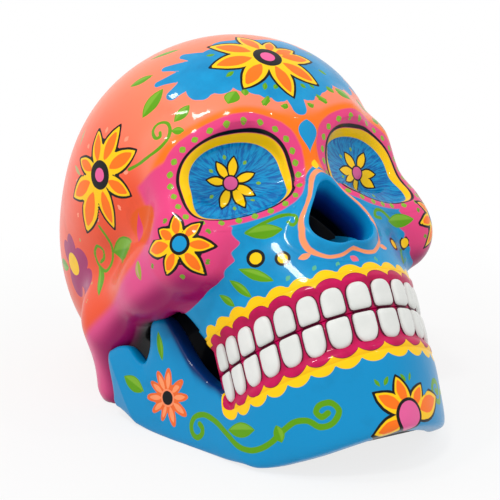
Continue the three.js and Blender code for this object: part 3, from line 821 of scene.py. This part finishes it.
def flower(at, tips, colours, ring, wide=0.25, facing=0.0, **style):
    """A flower at a picture place: its petals' tips there, its petal, stripe, centre and ring colours, the radii
    of its centre and ring in mm, its petals' half width as a share of their length, and how far it faces the
    viewer."""
    middle, n = spot(at)
    frame_here = flat_frame(middle, turned_to_viewer(middle, n, facing))
    _, _, across, up = frame_here
    reach = [spot(tip)[0] - middle for tip in tips]
    petals = [(np.arctan2(q @ up, q @ across), np.hypot(q @ across, q @ up)) for q in reach]
    lay_flower(frame_here, petals, colours, ring, wide, **style)


def lay_flower(frame_here, petals, colours, ring, wide, line=0.55, both=True, base=0.0, blunt=0.0):
    """The same in a frame on the surface, with each petal's turn and length; line is its outline's half width in
    mm, base is where along its length a petal begins, and blunt is how blunt its tip is."""
    mark = {"frame": frame_here, "petals": petals, "colours": colours, "ring": ring, "wide": wide, "line": line,
            "base": base, "blunt": blunt}
    flowers.append(mark)
    if both:
        flowers.append(twin(mark))


SUN = (YELLOW, ORANGE, tint(0xee5f9c), BLACK)
BLUE_HEART = (YELLOW, ORANGE, BLUE, BLACK)
STAR = (YELLOW, YELLOW, tint(0xdc5894), BLACK)
EYE_STAR = dict(colours=STAR, ring=(2.7, 3.4), line=0.38, base=0.14, both=False)
BRUSHED = dict(line=0.0, blunt=1.0)
FLOWERS = {
    "crown": dict(
        at=(267.7, 56.5), colours=SUN, ring=(3.2, 6.3), wide=0.21, both=False,
        tips=[(207, 47), (209, 68), (243, 89), (294, 98), (319, 86), (312, 62), (294, 51), (270, 42), (236, 37)]),
    "temple": dict(
        at=(99.3, 175), colours=SUN, ring=(3.0, 6.2), wide=0.2,
        tips=[(99.4, 128), (121, 124.5), (137, 150), (131.5, 196), (115, 230), (87, 233), (73.5, 197.5),
              (80, 158.5)]),
    "cheek": dict(
        at=(179, 243.8), colours=BLUE_HEART, ring=(3.1, 4.3), wide=0.24,
        tips=[(174.5, 214), (202.5, 222), (217, 246.5), (206, 275.5), (166.5, 276), (148.5, 252), (158, 229)]),
    "eye": dict(
        EYE_STAR, at=(230.6, 183.2), wide=0.185, facing=1.0,
        tips=[(234, 156), (255, 173), (255.5, 195.5), (245.5, 208), (221.5, 209), (206, 180), (216, 161.5)]),
    "eye_left": dict(
        EYE_STAR, at=(357.1, 173.1), wide=0.21, facing=2.0,
        tips=[(344.4, 152.2), (363.8, 152.7), (375.5, 174.6), (374.9, 187.8), (359.5, 192), (346, 181.2),
              (339.3, 169.5)]),
    "chin": dict(
        at=(411, 415), colours=(YELLOW, ORANGE, tint(0xe8609c), BLACK), ring=(5.4, 6.6), wide=0.24, both=False,
        tips=[(372, 436), (373, 393), (395, 375), (421, 383), (436, 396)]),
    "daisy": dict(
        BRUSHED, at=(167.5, 398), colours=(tint(0xf06a2c), PEACH, BLACK, tint(0xff9060)), ring=(2.9, 3.7),
        tips=[(168.6, 368), (183, 380), (188, 397), (186.5, 416), (174.6, 427), (162, 421), (152.5, 412),
              (147, 397), (151, 381.5), (157.5, 371)], wide=0.165),
    "violet": dict(
        BRUSHED, at=(73.5, 264), colours=(PURPLE, PURPLE, YELLOW, PURPLE), ring=(5.4, 5.8), wide=0.36,
        tips=[(69.7, 233.8), (86.2, 256.5), (88.6, 288), (80, 296.5), (64.5, 241)]),
}
for mark in FLOWERS.values():
    flower(**mark)

DOT_HEART = 0.66
DOTS = {"cheek": ((255.8, 258.4), 3.7, 0.0), "cheek_inner": ((282.6, 258.4), 3.1, 0.0),
        "far_cheek": ((393.7, 244), 3.0, 1.0), "far_cheek_outer": ((404.5, 243), 3.2, 1.0)}
for place, radius, facing in DOTS.values():
    look = dict(colours=(YELLOW, YELLOW, YELLOW, BLACK), ring=(radius * DOT_HEART, radius), line=0.0)
    flower(place, [], facing=facing, both=False, **look)

strokes = []


def stroke(start, end, wide, colour=LEAF, light=LEAF_LIGHT, facing=0.0, **style):
    """One lens-shaped touch of the brush between two picture places, wide mm to each side; light is the colour of
    its lit half, and facing turns it to the viewer."""
    a, n = spot(start)
    b, _ = spot(end)
    lay_stroke(a, b, turned_to_viewer(a, n, facing), wide, colour, light, **style)


def lay_stroke(a, b, n, wide, colour=LEAF, light=LEAF_LIGHT, lean=1.0, both=True):
    """The same between two points of the surface with a normal; lean moves its widest place towards its end."""
    along, n = unit(b - a), unit(n)
    mark = {"frame": (a, n, np.cross(n, along), along), "long": np.linalg.norm(b - a), "wide": wide,
            "colour": colour, "lean": lean, "light": light}
    strokes.append(mark)
    if both:
        strokes.append(twin(mark))


LEAVES = {"brow": ((228, 104), (236, 91), 3.2), "brow_small": ((263, 106), (268, 97), 1.8),
          "brow_dot": ((284, 109), (287, 103.5), 1.2), "splash": ((226, 77), (234, 71), 1.1),
          "splash_low": ((264.5, 90), (265.5, 82.5), 1.1), "vault": ((142.4, 118), (163.3, 88.6), 3.1),
          "vault_small": ((130, 87), (153, 75.3), 2.2), "slender": ((150, 60), (180, 49.5), 1.8),
          "vine_leaf": ((174, 122), (189.5, 104.8), 2.5), "vine_leaf_low": ((171, 131), (184.5, 130.5), 2.0),
          "splash_left": ((206, 56), (215, 54.5), 1.0), "splash_right": ((300, 83.5), (306, 88), 1.1),
          "far_leaf": ((315.6, 94), (327.4, 104), 1.7), "far_fleck": ((309.5, 103), (314, 106.5), 1.2),
          "far_edge": ((326, 86), (334, 93), 1.6), "temple_low": ((99, 296), (98, 262), 2.5),
          "cheek_one": ((238, 269), (274, 281), 2.0), "cheek_two": ((229, 280), (252, 298), 1.6),
          "cheek_three": ((219, 295), (235, 307), 1.5), "jaw_leaf": ((124, 376), (144, 392), 3.2),
          "arm_leaf": ((158, 331), (162.5, 361), 1.7), "chin_leaf": ((228, 430), (255, 430), 3.0),
          "chin_leaf_two": ((276, 425), (282, 443), 2.4), "chin_fleck": ((384, 386), (388, 376), 0.9),
          "chin_fleck_two": ((409, 381), (410, 372), 0.7)}
for start, end, wide in LEAVES.values():
    stroke(start, end, wide)

FUCHSIA, CLAY, LIP_ROSE = tint(0xe03070), tint(0xb4b070), tint(0xf06a80)
TOUCHES = {
    "temple_leaf": ((113, 252), (132, 248), 3.4, dict(facing=2.0)),
    "cheek_bud": ((141, 280.5), (137.5, 260), 1.8, dict(colour=tint(0x9aa83c), light=tint(0xe09aa8))),
    "eye_leaf": ((245, 234), (283, 229), 2.9, dict(both=False)),
    "eye_leaf_left": ((388, 221), (414, 219), 2.9, dict(both=False)),
    "brow_drop": ((310.5, 153.5), (306.5, 119), 4.4, dict(colour=BLUE, light=BLUE, lean=1.7, both=False)),
    "bridge_bead": ((316.3, 168.5), (314.5, 159.5), 1.6, dict(colour=YELLOW, light=YELLOW, both=False)),
    "lip_bead": ((350, 256), (359, 261.5), 1.6, dict(colour=LIP_ROSE, light=LIP_ROSE, both=False)),
    "temple_drop": ((138, 211), (138.8, 242), 2.0, dict(colour=FUCHSIA, light=FUCHSIA, lean=1.6, facing=1.0)),
    "temple_speck": ((75, 165), (81, 176), 1.0, dict(colour=CLAY, light=CLAY)),
    "temple_speck_high": ((80, 146), (86, 128), 1.0, dict(colour=CLAY, light=CLAY)),
    "lip_dash": ((298, 259), (311, 254), 1.3, dict(colour=PEACH, light=PEACH)),
}
for start, end, wide, look in TOUCHES.values():
    stroke(start, end, wide, **look)

LIP_HEART, VIOLET_HEART = (340, 230), (74, 264)
FLECKS = {
    "iris": ([(224.4, 157.3), (244.7, 162.7), (211, 171), (258.5, 183.1), (211.5, 196.7), (252.5, 200),
              (234.5, 208.5)],
             FLOWERS["eye"]["at"], 2.2, 0.75, tint(0x7cae3a)),
    "temple": ([(106.7, 130), (126.4, 139), (88.4, 146), (125.8, 172.5), (119.4, 207.6), (78, 215), (97.7, 219),
                (77, 181)],
               FLOWERS["temple"]["at"], 3.0, 0.9, tint(0xff9a7c)),
    "cheek": ([(164.7, 221), (208.3, 231.4), (207.7, 261.8), (182.3, 276.7), (152.5, 266), (153, 243)],
              FLOWERS["cheek"]["at"], 2.6, 1.2, tint(0x6f9a28)),
    "lip": ([(314.4, 268), (337.8, 264.2), (288, 278), (376, 259)], LIP_HEART, 2.8, 0.85, tint(0x58b08c)),
    "violet": ([(80, 240), (92, 283), (87, 301)], VIOLET_HEART, 2.0, 0.9, tint(0xc8a060)),
}
for name, (places, heart, long, wide, colour) in FLECKS.items():
    for place in places:
        middle, n = spot(place)
        outward = middle - spot(heart)[0]
        outward = unit(outward - n * (outward @ n)) * long / 2
        lay_stroke(middle - outward, middle + outward, n, wide, colour, colour, both=name != "lip")

SPLASH = (((204, 58), (184.5, 56.5), 4.6, 2.2), ((200, 65), (165, 69.3), 4.6, 1.6),
          ((197, 71), (158, 84.3), 4.4, 1.6), ((197, 76), (171.5, 95.5), 4.0, 2.4),
          ((208, 80), (203, 93.5), 3.6, 3.4), ((222, 78), (222, 86.5), 3.6, 4.4),
          ((242, 82), (242.5, 85), 4.5, 4.0), ((266, 86), (266, 91.5), 4.5, 3.4),
          ((280, 92), (281, 96), 3.6, 2.8), ((295, 94), (299.5, 108), 3.4, 3.4),
          ((309, 88), (310, 96), 3.4, 2.4), ((316, 84), (317.5, 88), 3.2, 2.2),
          ((203, 64), (262, 70), 6.5, 6.5), ((215, 56), (315, 66), 6.5, 6.5),
          ((262, 74), (314, 80), 7.0, 7.0), ((225, 46), (300, 52), 6.0, 6.0),
          ((320, 74), (345, 86), 5.0, 5.0))
splash_runs = [(spot(a)[0], spot(b)[0], ra, rb) for a, b, ra, rb in SPLASH]

UNSEEN_LEAF, UNSEEN_LEAF_WIDE = 14, 2.9


def unseen_flower(way, petals, long, colours, ring, wide=0.2, both=True):
    """A flower of even petals where a direction leaves the head, with a leaf to each side."""
    middle, n = unseen_spot(way)
    frame_here = flat_frame(middle, n)
    turns = [(2 * np.pi * (k + 0.5) / petals, long) for k in range(petals)]
    lay_flower(frame_here, turns, colours, ring, wide, both=both)
    for side in (-1, 1):
        out = unit(frame_here[2] * side - frame_here[3] * 0.7)
        foot = long * 1.05
        lay_stroke(middle + out * foot, middle + out * (foot + UNSEEN_LEAF), n, UNSEEN_LEAF_WIDE, both=both)


UNSEEN = {"back": dict(way=(0, 0.85, 0.52), petals=9, long=27, colours=SUN, ring=(3.2, 6.3), both=False),
          "side": dict(way=(0.62, 0.72, 0.3), petals=7, long=17, colours=BLUE_HEART, ring=(3.1, 4.3), wide=0.24),
          "low": dict(way=(0.42, 0.88, -0.2), petals=8, long=20, colours=SUN, ring=(3.0, 5.6)),
          "vault": dict(way=(0.42, 0.5, 0.75), petals=8, long=15, colours=STAR, ring=(2.7, 3.4), wide=0.19)}
for mark in UNSEEN.values():
    unseen_flower(**mark)

RING_DOTS = 25
RING_SHARE, RING_LIFT = 1.12, 0.055
RING_DOT_LONG, RING_DOT_WIDE = 3.0, 1.25
turn = 2 * np.pi * (np.arange(RING_DOTS) + 0.5) / RING_DOTS
share = RING_SHARE + RING_LIFT * np.maximum(np.sin(turn), 0)
flat_spots = eye_spot(turn, share)
hits = first_hit(head, flat_spots, 0 * flat_spots - EYE_BACK, FACE_REACH)
round_ways = unit(eye_spot(turn + 0.1, share) - flat_spots) * RING_DOT_LONG / 2
for middle, round_way in zip(flat_spots - hits[:, None] * EYE_BACK, round_ways):
    lay_stroke(middle - round_way, middle + round_way, -EYE_BACK, RING_DOT_WIDE, tint(0x7fb028), tint(0x9cc244))

VINE_STEPS = 14
vines = []


def vine(places, wide, both=True):
    """A painted stem through picture places, as a smooth run of points with its own half width."""
    knots = np.array([spot(p)[0] for p in places])
    t = np.linspace(0, len(knots) - 1, VINE_STEPS * len(knots))
    i = np.clip(t.astype(int), 0, len(knots) - 2)
    f = (t - i)[:, None]
    pad = np.concatenate((2 * knots[:1] - knots[1:2], knots, 2 * knots[-1:] - knots[-2:-1]))
    p0, p1, p2, p3 = (pad[i + k] for k in range(4))
    bent = (2 * p0 - 5 * p1 + 4 * p2 - p3) * f ** 2 + (3 * p1 - p0 - 3 * p2 + p3) * f ** 3
    run = 0.5 * (2 * p1 + (p2 - p0) * f + bent)
    vines.append((run, wide))
    if both:
        vines.append((run * MIRROR, wide))


VINE_WIDE, JAW_VINE_WIDE = 0.75, 1.15
VINES = {"jaw": [(199.5, 424), (202.3, 428), (202, 434), (197.4, 437.5), (193, 434), (191.3, 425.5),
                 (195, 417), (204, 414.7), (215, 421), (226, 433), (238, 446), (250, 450.5), (262, 448),
                 (273, 441), (284, 430), (295, 422), (308, 421), (320, 427), (333, 423), (339, 411),
                 (331, 403), (320, 405), (316, 412), (322, 417), (328, 413)],
         "brow": [(129, 169.5), (143, 161), (156, 151), (166, 141), (170, 131), (167, 123), (158, 124),
                  (153, 131), (155, 138), (160, 137), (160, 132)],
         "temple_low": [(99, 226), (106, 236), (112, 247), (112, 262), (106, 271), (99, 265), (95, 254),
                        (97, 246), (103, 250), (104, 258), (101, 262)],
         "under_eye": [(246, 233), (262, 224), (280, 216), (293, 215), (297, 220), (293, 225), (288, 222)],
         "under_eye_left": [(390, 219), (382, 211), (376, 210), (375, 216), (381, 218)]}
for name, places in VINES.items():
    vine(places, JAW_VINE_WIDE if name == "jaw" else VINE_WIDE, "under" not in name)


def flower_marks(p, n):
    """For each point, in the flower it lies on: share along the nearest petal, mm beside its axis, mm from the
    middle; the petal's half width, the radii of centre and ring; the outline's half width, 1 on a flower, how
    blunt its petals are; and its four colours."""
    run, size, mark = (np.zeros((len(p), 3)) for _ in range(3))
    colours = [np.zeros((len(p), 3)) for _ in range(4)]
    run[:, 0] = 2
    best = np.full(len(p), 9.0)
    for f in flowers:
        middle, normal, across, up = f["frame"]
        q = p - middle
        u, v, h = q @ across, q @ up, q @ normal
        r = np.hypot(u, v)
        reach = max([length for _, length in f["petals"]] + [f["ring"][1]])
        inside = (r < reach * 1.1 + 1.5) & (np.abs(h) < reach * 0.6 + 5) & (n @ normal > -0.1)
        inside &= r / reach < best
        if not inside.any():
            continue
        best[inside] = (r / reach)[inside]
        theta = np.arctan2(v, u)
        length, along, beside = np.ones(len(p)), np.full(len(p), 2.0), r.copy()
        near = np.full(len(p), 9.0)
        for angle, long in f["petals"]:
            off = np.abs((theta - angle + np.pi) % (2 * np.pi) - np.pi)
            closer = off < near
            near = np.where(closer, off, near)
            along = np.where(closer, r * np.cos(off) / long, along)
            beside = np.where(closer, r * np.sin(np.minimum(off, 1.57)), beside)
            length = np.where(closer, long, length)
        along = (along - f["base"]) / (1 - f["base"])
        run[inside] = vec(along, beside, r)[inside]
        size[inside, 0] = (length * f["wide"])[inside]
        size[inside, 1:] = f["ring"]
        mark[inside] = (f["line"], 1.0, f["blunt"])
        for store, colour in zip(colours, f["colours"]):
            store[inside] = colour[:3]
    return run, size, mark, colours


def stroke_marks(p, n):
    """For each point, in the brush touch it lies on: share along it, mm beside it, its half width; 1 on a touch;
    and its two colours."""
    mark = np.tile((2.0, 9.0, 1.0), (len(p), 1))
    colour, light = np.zeros((2, len(p), 3))
    best, second = np.full((2, len(p)), -2.2)
    for s in strokes:
        start, normal, across, along = s["frame"]
        q = p - start
        a, b, h = q @ along / s["long"], q @ across, q @ normal
        a = np.where(a > 0, np.maximum(a, 0) ** s["lean"], a)
        edge = s["wide"] * 4 * a * (1 - a) - np.abs(b)
        near = (a > -0.4) & (a < 1.4) & (np.abs(h) < 0.5 * s["long"] + 3) & (n @ normal > 0.1)
        edge = np.where(near, edge, -9)
        on = edge > best
        second = np.where(on, best, np.maximum(second, edge))
        best = np.where(on, edge, best)
        mark[on] = vec(a, b, 0 * a + s["wide"])[on]
        colour[on] = s["colour"][:3]
        light[on] = s["light"][:3]
    held = (best > -1.6) & ((best - second > 0.9) | (best > -0.3))
    return mark, held.astype(float), colour, light


STEM_REACH = 6.0


def vine_marks(p):
    """For each point: mm from the nearest stem, less that stem's half width."""
    away = np.full(len(p), STEM_REACH)
    for run, wide in vines:
        near = ((p > run.min(0) - STEM_REACH) & (p < run.max(0) + STEM_REACH)).all(-1)
        if near.any():
            for a, b in zip(run[:-1], run[1:]):
                away[near] = np.minimum(away[near], rod(p[near], a, b, wide, wide))
    return away


def blend(a, b, t):
    """Colour a turning to colour b as t goes from 0 to 1."""
    return a + (np.array(b)[:3] - a) * t[:, None]


NOWHERE = -20.0
OFF_LINE = -9.0
RIM_MM = 18.0
NOSE_MM = 11
CHEEK_TOP = ((20, 27, 41, 49, 64, 83, 110, 200), (58, 57.6, 55.4, 51.5, 48.8, 48, 46, 44))
BLUE_SIDE = ((26, 27, 28.5, 30, 32, 34, 37, 39, 42, 46, 60), (130, 90, 78, 71, 67.5, 63, 60, 56, 55, 55.5, 58))
BLUE_TOP = ((-1, -0.4, 0.3, 1), (1.2, 1.2, 1.22, 1.3))
RING_EDGE = ((-1, -0.5, 0.2, 1), (1.19, 1.19, 1.3, 1.36))
NOSE_PATH = ((-90, -60, -35, 0, 40, 90), (1.4, 1.58, 1.5, 1.28, 1.28, 1.36))


def face_ground(p, n, share):
    """The cranium's ground: salmon to coral and red at the sides, orange round the eyes and down the bridge, pink
    below, the temple's rose patch, an orange patch painted as shade in the temple's hollow, magenta painted as
    shade on the faces that look down under the cheekbones, and dark paint behind the jaw's arms."""
    x, y, z = np.abs(p[:, 0]), p[:, 1], p[:, 2]
    front = ease(y, 48, 34)
    colour = np.tile(np.array(SALMON[:3]), (len(p), 1))
    colour = blend(colour, CORAL, ease(y, 5, 60) * ease(z, 140, 110))
    colour = blend(colour, RED_ORANGE, ease(x, 40, 62) * ease(z, 106, 78) * ease(y, 25, 40))
    colour = blend(colour, ORANGE, ease(share, 1.6, 1.44) * front * ease(z, 62, 72))
    colour = blend(colour, ORANGE, ease(x, 13, 7) * ease(z, 92, 84) * front)
    low = np.interp(y, *CHEEK_TOP)
    colour = blend(colour, PINK, ease(z, low + 1.8, low - 2.2))
    temple_pink = ease(y, 38.5, 35.5) * ease(z, 81.5, 79.5) * ease(share, 1.0, 1.1)
    colour = blend(colour, ROSE, temple_pink * ease(x, 30, 40))
    # Painted shade: a deeper orange patch on the side of the temple, in the hollow behind the socket's rim.
    temple_shade_patch = np.hypot((y - 39.5) / 12.2, (z - 65 - 0.3 * (y - 39.5)) / 8.2)
    colour = blend(colour, TEMPLE_SHADE_ORANGE, ease(temple_shade_patch, 1.02, 0.9) * ease(x, 45, 50))
    # Painted shade: magenta on the faces that look down, under the cheekbones and the front of the cheek arches.
    colour = blend(colour, MAGENTA, ease(-n[:, 2], 0.25, 0.75) * ease(z, 56, 48) * ease(y, 18, 26))
    hidden = ease(x, 54, 51) * ease(y, 47, 51) * ease(z, 46, 42) * ease(y, 118, 112)
    under_arch = ease(x, 61, 54) * ease(y, 60, 66) * ease(y, 104, 100) * ease(z, 44, 37)
    return blend(colour, NIGHT, np.maximum(hidden, under_arch))


def jaw_ground(p, n):
    """The jaw's blue, with painted shade: darker blue on the faces turned forward in the notch of each arm and on
    its inner side.
    """
    # Painted shade: dark blue on the forward faces in each arm's notch and on the jaw's inward faces.
    notch_shade = ease(p[:, 1], 46, 52) * ease(p[:, 1], 70, 66) * ease(-n[:, 1], 0.35, 0.8)
    inner = ease(-n[:, 0] * np.sign(p[:, 0]), 0.2, 0.6) * ease(p[:, 1], 44, 50)
    colour = np.tile(np.array(tint(0x018dc6)[:3]), (len(p), 1))
    return blend(colour, tint(0x032c66), np.maximum(notch_shade, inner))


def splash_edge(p):
    """mm inside the blue splash behind the crown's flower: inside any of its tapered runs or their twins."""
    splash = np.full(len(p), NOWHERE)
    for start, end, thick, thin in splash_runs:
        for flip in (np.ones(3), MIRROR):
            splash = np.maximum(splash, -rod(p, start * flip, end * flip, thick, thin))
    return splash


def scallop_edge(p, n, is_jaw):
    """mm inside the yellow scallops beside a gum: one lobe to a tooth, up to the gum's end."""
    z = p[:, 2]
    flat_y = np.minimum(p[:, 1] + ARCH_SHEAR * np.clip(z, -14, 14), ARCH_DEPTH)
    angle = np.arctan2(p[:, 0] / ARCH_HALF_WIDTH, (ARCH_DEPTH - flat_y) / ARCH_DEPTH)
    lobes = 3.0 * tooth_lobe(angle)
    angle = np.abs(angle)
    if is_jaw:
        line = LOWER_GUM_BOTTOM - 1.6 - lobes + 1.6 * ease(angle, gum_end - 0.2, gum_end)
        return np.where(n[:, 1] > 0.3, OFF_LINE, np.minimum(z - line, (gum_end - 0.035 - angle) * 400))
    return np.minimum(UPPER_GUM_TOP + 1.7 + lobes - z, (gum_end - angle) * 50)


def ground_marks(p, n, is_jaw, is_skin):
    """Ground colour at each point, and the mm distances, positive inside, to the edges of the painted fields."""
    scallop = scallop_edge(p, n, is_jaw)
    if is_jaw:
        off = np.full((len(p), 3), NOWHERE)
        return jaw_ground(p, n), off, vec(scallop, off[:, 0])
    x, y, z = np.abs(p[:, 0]), p[:, 1], p[:, 2]
    turn, share, _ = eye_place(p)
    side = (np.interp(z, *BLUE_SIDE) - x - 1.2 * y) / 1.56 + 1.3 * np.abs(np.sin(z * 0.55)) - 0.6
    top = np.where(x > 6, (share - np.interp(np.sin(turn), *BLUE_TOP)) * 15, 61 - z)
    below = np.minimum(np.minimum(25.5 - z + 0.1 * (y - 25), 50 - y), 20)
    blue = np.maximum(np.minimum.reduce([side, top, 64 - z, 52 - y]), below)
    ring = np.where(y < 40, (np.interp(np.sin(turn), *RING_EDGE) - share) * 17, NOWHERE)
    nose, nose_turn = nose_share(p)
    nose_turn = np.degrees(nose_turn)
    path = np.interp(nose_turn, *NOSE_PATH)
    path -= 0.13 * ease(p[:, 0], 2, 8) * ease(nose_turn, -35, -15) * ease(nose_turn, 88, 70)
    near = y < 14
    nose_line = np.where(near & (z < 66), 0.8 - np.abs(nose - path) * NOSE_MM, OFF_LINE)
    wide, start = (1.45, 4) if is_skin else (1.3, 7)
    inside = (((nose < 1.08) & (y > 0.5)) | ((nose < wide) & (y > start))) & (y < 40)
    blue = np.where((nose < 2.0) & near, np.maximum(blue, (path + 0.16 - nose) * NOSE_MM), blue)
    blue = np.where(inside, NOWHERE, blue)
    deep = np.where(inside, 1.0, 0.0)
    colour = blend(face_ground(p, n, share), BLUE, np.maximum(deep, (nose < path) & near))
    # Partly painted shade: the recess's blue darkens going deeper; the black at its floor is the floor's own
    # paint.
    colour = blend(colour, DEEP_BLUE, deep * ease(y, 2, 8))
    colour = blend(colour, tint(0x021c5c), deep * ease(y, 7, 13))
    colour = blend(colour, NIGHT, deep * ease(y, 14, 15.5))
    return colour, vec(blue, ring, splash_edge(p)), vec(scallop, nose_line)


for piece in forms:
    p, n = mesh_points(piece)
    p, n = upright(p), turned_upright(n)
    run, size, mark, colours = flower_marks(p, n)
    touch, held, touch_colour, touch_light = stroke_marks(p, n)
    colour, fields, edges = ground_marks(p, n, piece is jaw, piece is cranium)
    turn, share, _ = eye_place(p)
    line, past, iris = np.full((3, len(p)), NOWHERE)
    if piece in rims:
        past = (round_eye(turn, LINE_INNER) - share) * RIM_MM
        line = np.minimum((round_eye(turn, LINE_OUTER) - share) * RIM_MM, -past)
        iris = (round_eye(turn, YELLOW_INNER) - share) * RIM_MM
    layers = {"petal_run": run, "petal_size": size, "petal_mark": mark}
    layers.update(zip(("petal_colour", "stripe_colour", "centre_colour", "ring_colour"), colours))
    layers.update(touch=touch, touch_colour=touch_colour, touch_light=touch_light)
    layers.update(stem=vec(vine_marks(p), line, held), ground=colour, fields=fields)
    layers.update(edges=np.concatenate((edges, past[:, None]), 1), iris_edge=iris)
    layers.update(iris=vec(np.cos(turn), np.sin(turn), 0.3 * share))
    for name, values in layers.items():
        keep(piece, name, values)


def draw_marks(paint, start, place):
    """Stems, brush touches and flowers over a ground colour, in the order in which they are painted."""
    wobble = (start.noise(place, 340.0, 1.0) - 0.5) * 0.7
    stem, _, held = start.attribute("stem").parts()
    held = held.rise(0.97, 0.999)
    paint = paint.over(LEAF, (stem + wobble * 0.4).rise(0.15, -0.15))
    a, b, wide = start.attribute("touch").parts()
    edge = wide * 4.0 * a * (1.0 - a) - b.math("ABSOLUTE") + wobble * 0.4
    touch = start.attribute("touch_colour")
    paint = paint.over(touch, edge.rise(-0.1, 0.15) * held)
    light = touch.over(start.attribute("touch_light"), b.rise(-0.2, 0.5) * 0.45)
    paint = paint.over(light, (edge - 0.45).rise(-0.1, 0.25) * held)
    along, beside, radius = start.attribute("petal_run").parts()
    half, inner, outer = start.attribute("petal_size").parts()
    line, on, blunt = start.attribute("petal_mark").parts()
    on = on.rise(0.97, 0.999)
    lens = 4.0 * along * (1.0 - along)
    within = lens.math("MAXIMUM", 0.0)
    lens = lens + (within.math("SQRT") - within) * blunt
    edge = half * lens - beside + wobble * 0.5
    drawn = line.rise(0.02, 0.1)
    paint = paint.over(BLACK, (edge + line).cut() * on * drawn)
    paint = paint.over(start.attribute("petal_colour"), (edge - line).cut() * on)
    t = (along - 0.27) * 1.62
    stripe = half * 2.3 * t * (1.0 - t) - beside + wobble * 0.5
    paint = paint.over(start.attribute("stripe_colour"), stripe.rise(-0.1, 0.2) * on)
    for colour, reach in (("ring_colour", outer), ("centre_colour", inner)):
        paint = paint.over(start.attribute(colour), (reach - radius + wobble * 0.3).cut() * on)
    return paint


def skin_colour(start, place):
    """Ground, then the blue, pink and yellow fields with their cut edges, the socket lines and the marks."""
    cloud = start.noise(place, 55.0, 4.0, 0.6)
    paint = start.attribute("ground")
    blue, ring, splash = start.attribute("fields").parts()
    scallop, nose_line, rim = start.attribute("edges").parts()
    _, rim_line, _ = start.attribute("stem").parts()
    wobble = (start.noise(place, 180.0, 1.0) - 0.5) * 1.4
    sea = cloud.rise(0.3, 0.7).between(tint(0x0084bc), tint(0x0698d0))
    paint = paint.over(sea, (blue + wobble * 0.5).cut(0.25))
    paint = paint.over(ROSE, (ring + wobble * 0.4).cut(0.5))
    paint = paint.over(sea, (splash + wobble * 0.5).cut(0.2))
    paint = paint.over(YELLOW, (scallop + wobble * 0.3).cut(0.15))
    paint = paint.over(tint(0xc00250), (scallop - 4.0).cut())
    paint = paint.over(PEACH, (nose_line + wobble * 0.3).rise(-0.15, 0.2))
    paint = paint.over(YELLOW, (rim - 0.1).cut(0.1))
    paint = paint.over(iris_blue(start), start.attribute("iris_edge", 2).cut(0.1))
    paint = paint.over(BLACK, (rim_line + wobble * 0.1).cut())
    paint = draw_marks(paint, start, place)
    return paint.over((0.0, 0.0, 0.0, 1.0), cloud.rise(0.42, 0.25) * 0.10)


def iris_blue(start):
    """Blue laid in brush strokes that run out from the middle of the eye."""
    streak = start.noise(start.attribute("iris"), 15.0, 3.0, 0.6)
    return streak.rise(0.36, 0.62).between(tint(0x0460a8), tint(0x0a94cc))


def dish_colour(start, place):
    """The eye's blue, then the flower and its flecks."""
    return draw_marks(iris_blue(start), start, place)


skull_paint = glossy("skull_paint", skin_colour)
for piece in painted:
    piece.data.materials.append(skull_paint)
eye_blue = glossy("eye_blue", dish_colour)
for piece in dishes:
    piece.data.materials.append(eye_blue)


# The skull base: the dark block in the mouth behind the teeth that ties cranium and jaw together.
# It is ceramic, part of the casting, and painted nearly black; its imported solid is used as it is.
def base_colour(start, place):
    """Near-black paint, unevenly brushed."""
    cloud = start.noise(place, 80.0, 4.0)
    return cloud.between(tint(0x02040a), tint(0x0a1426))


base_black = glossy("base_black", base_colour, rough=0.5, coat=0.05)
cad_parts["skull_base"].data.materials.clear()
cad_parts["skull_base"].data.materials.append(base_black)
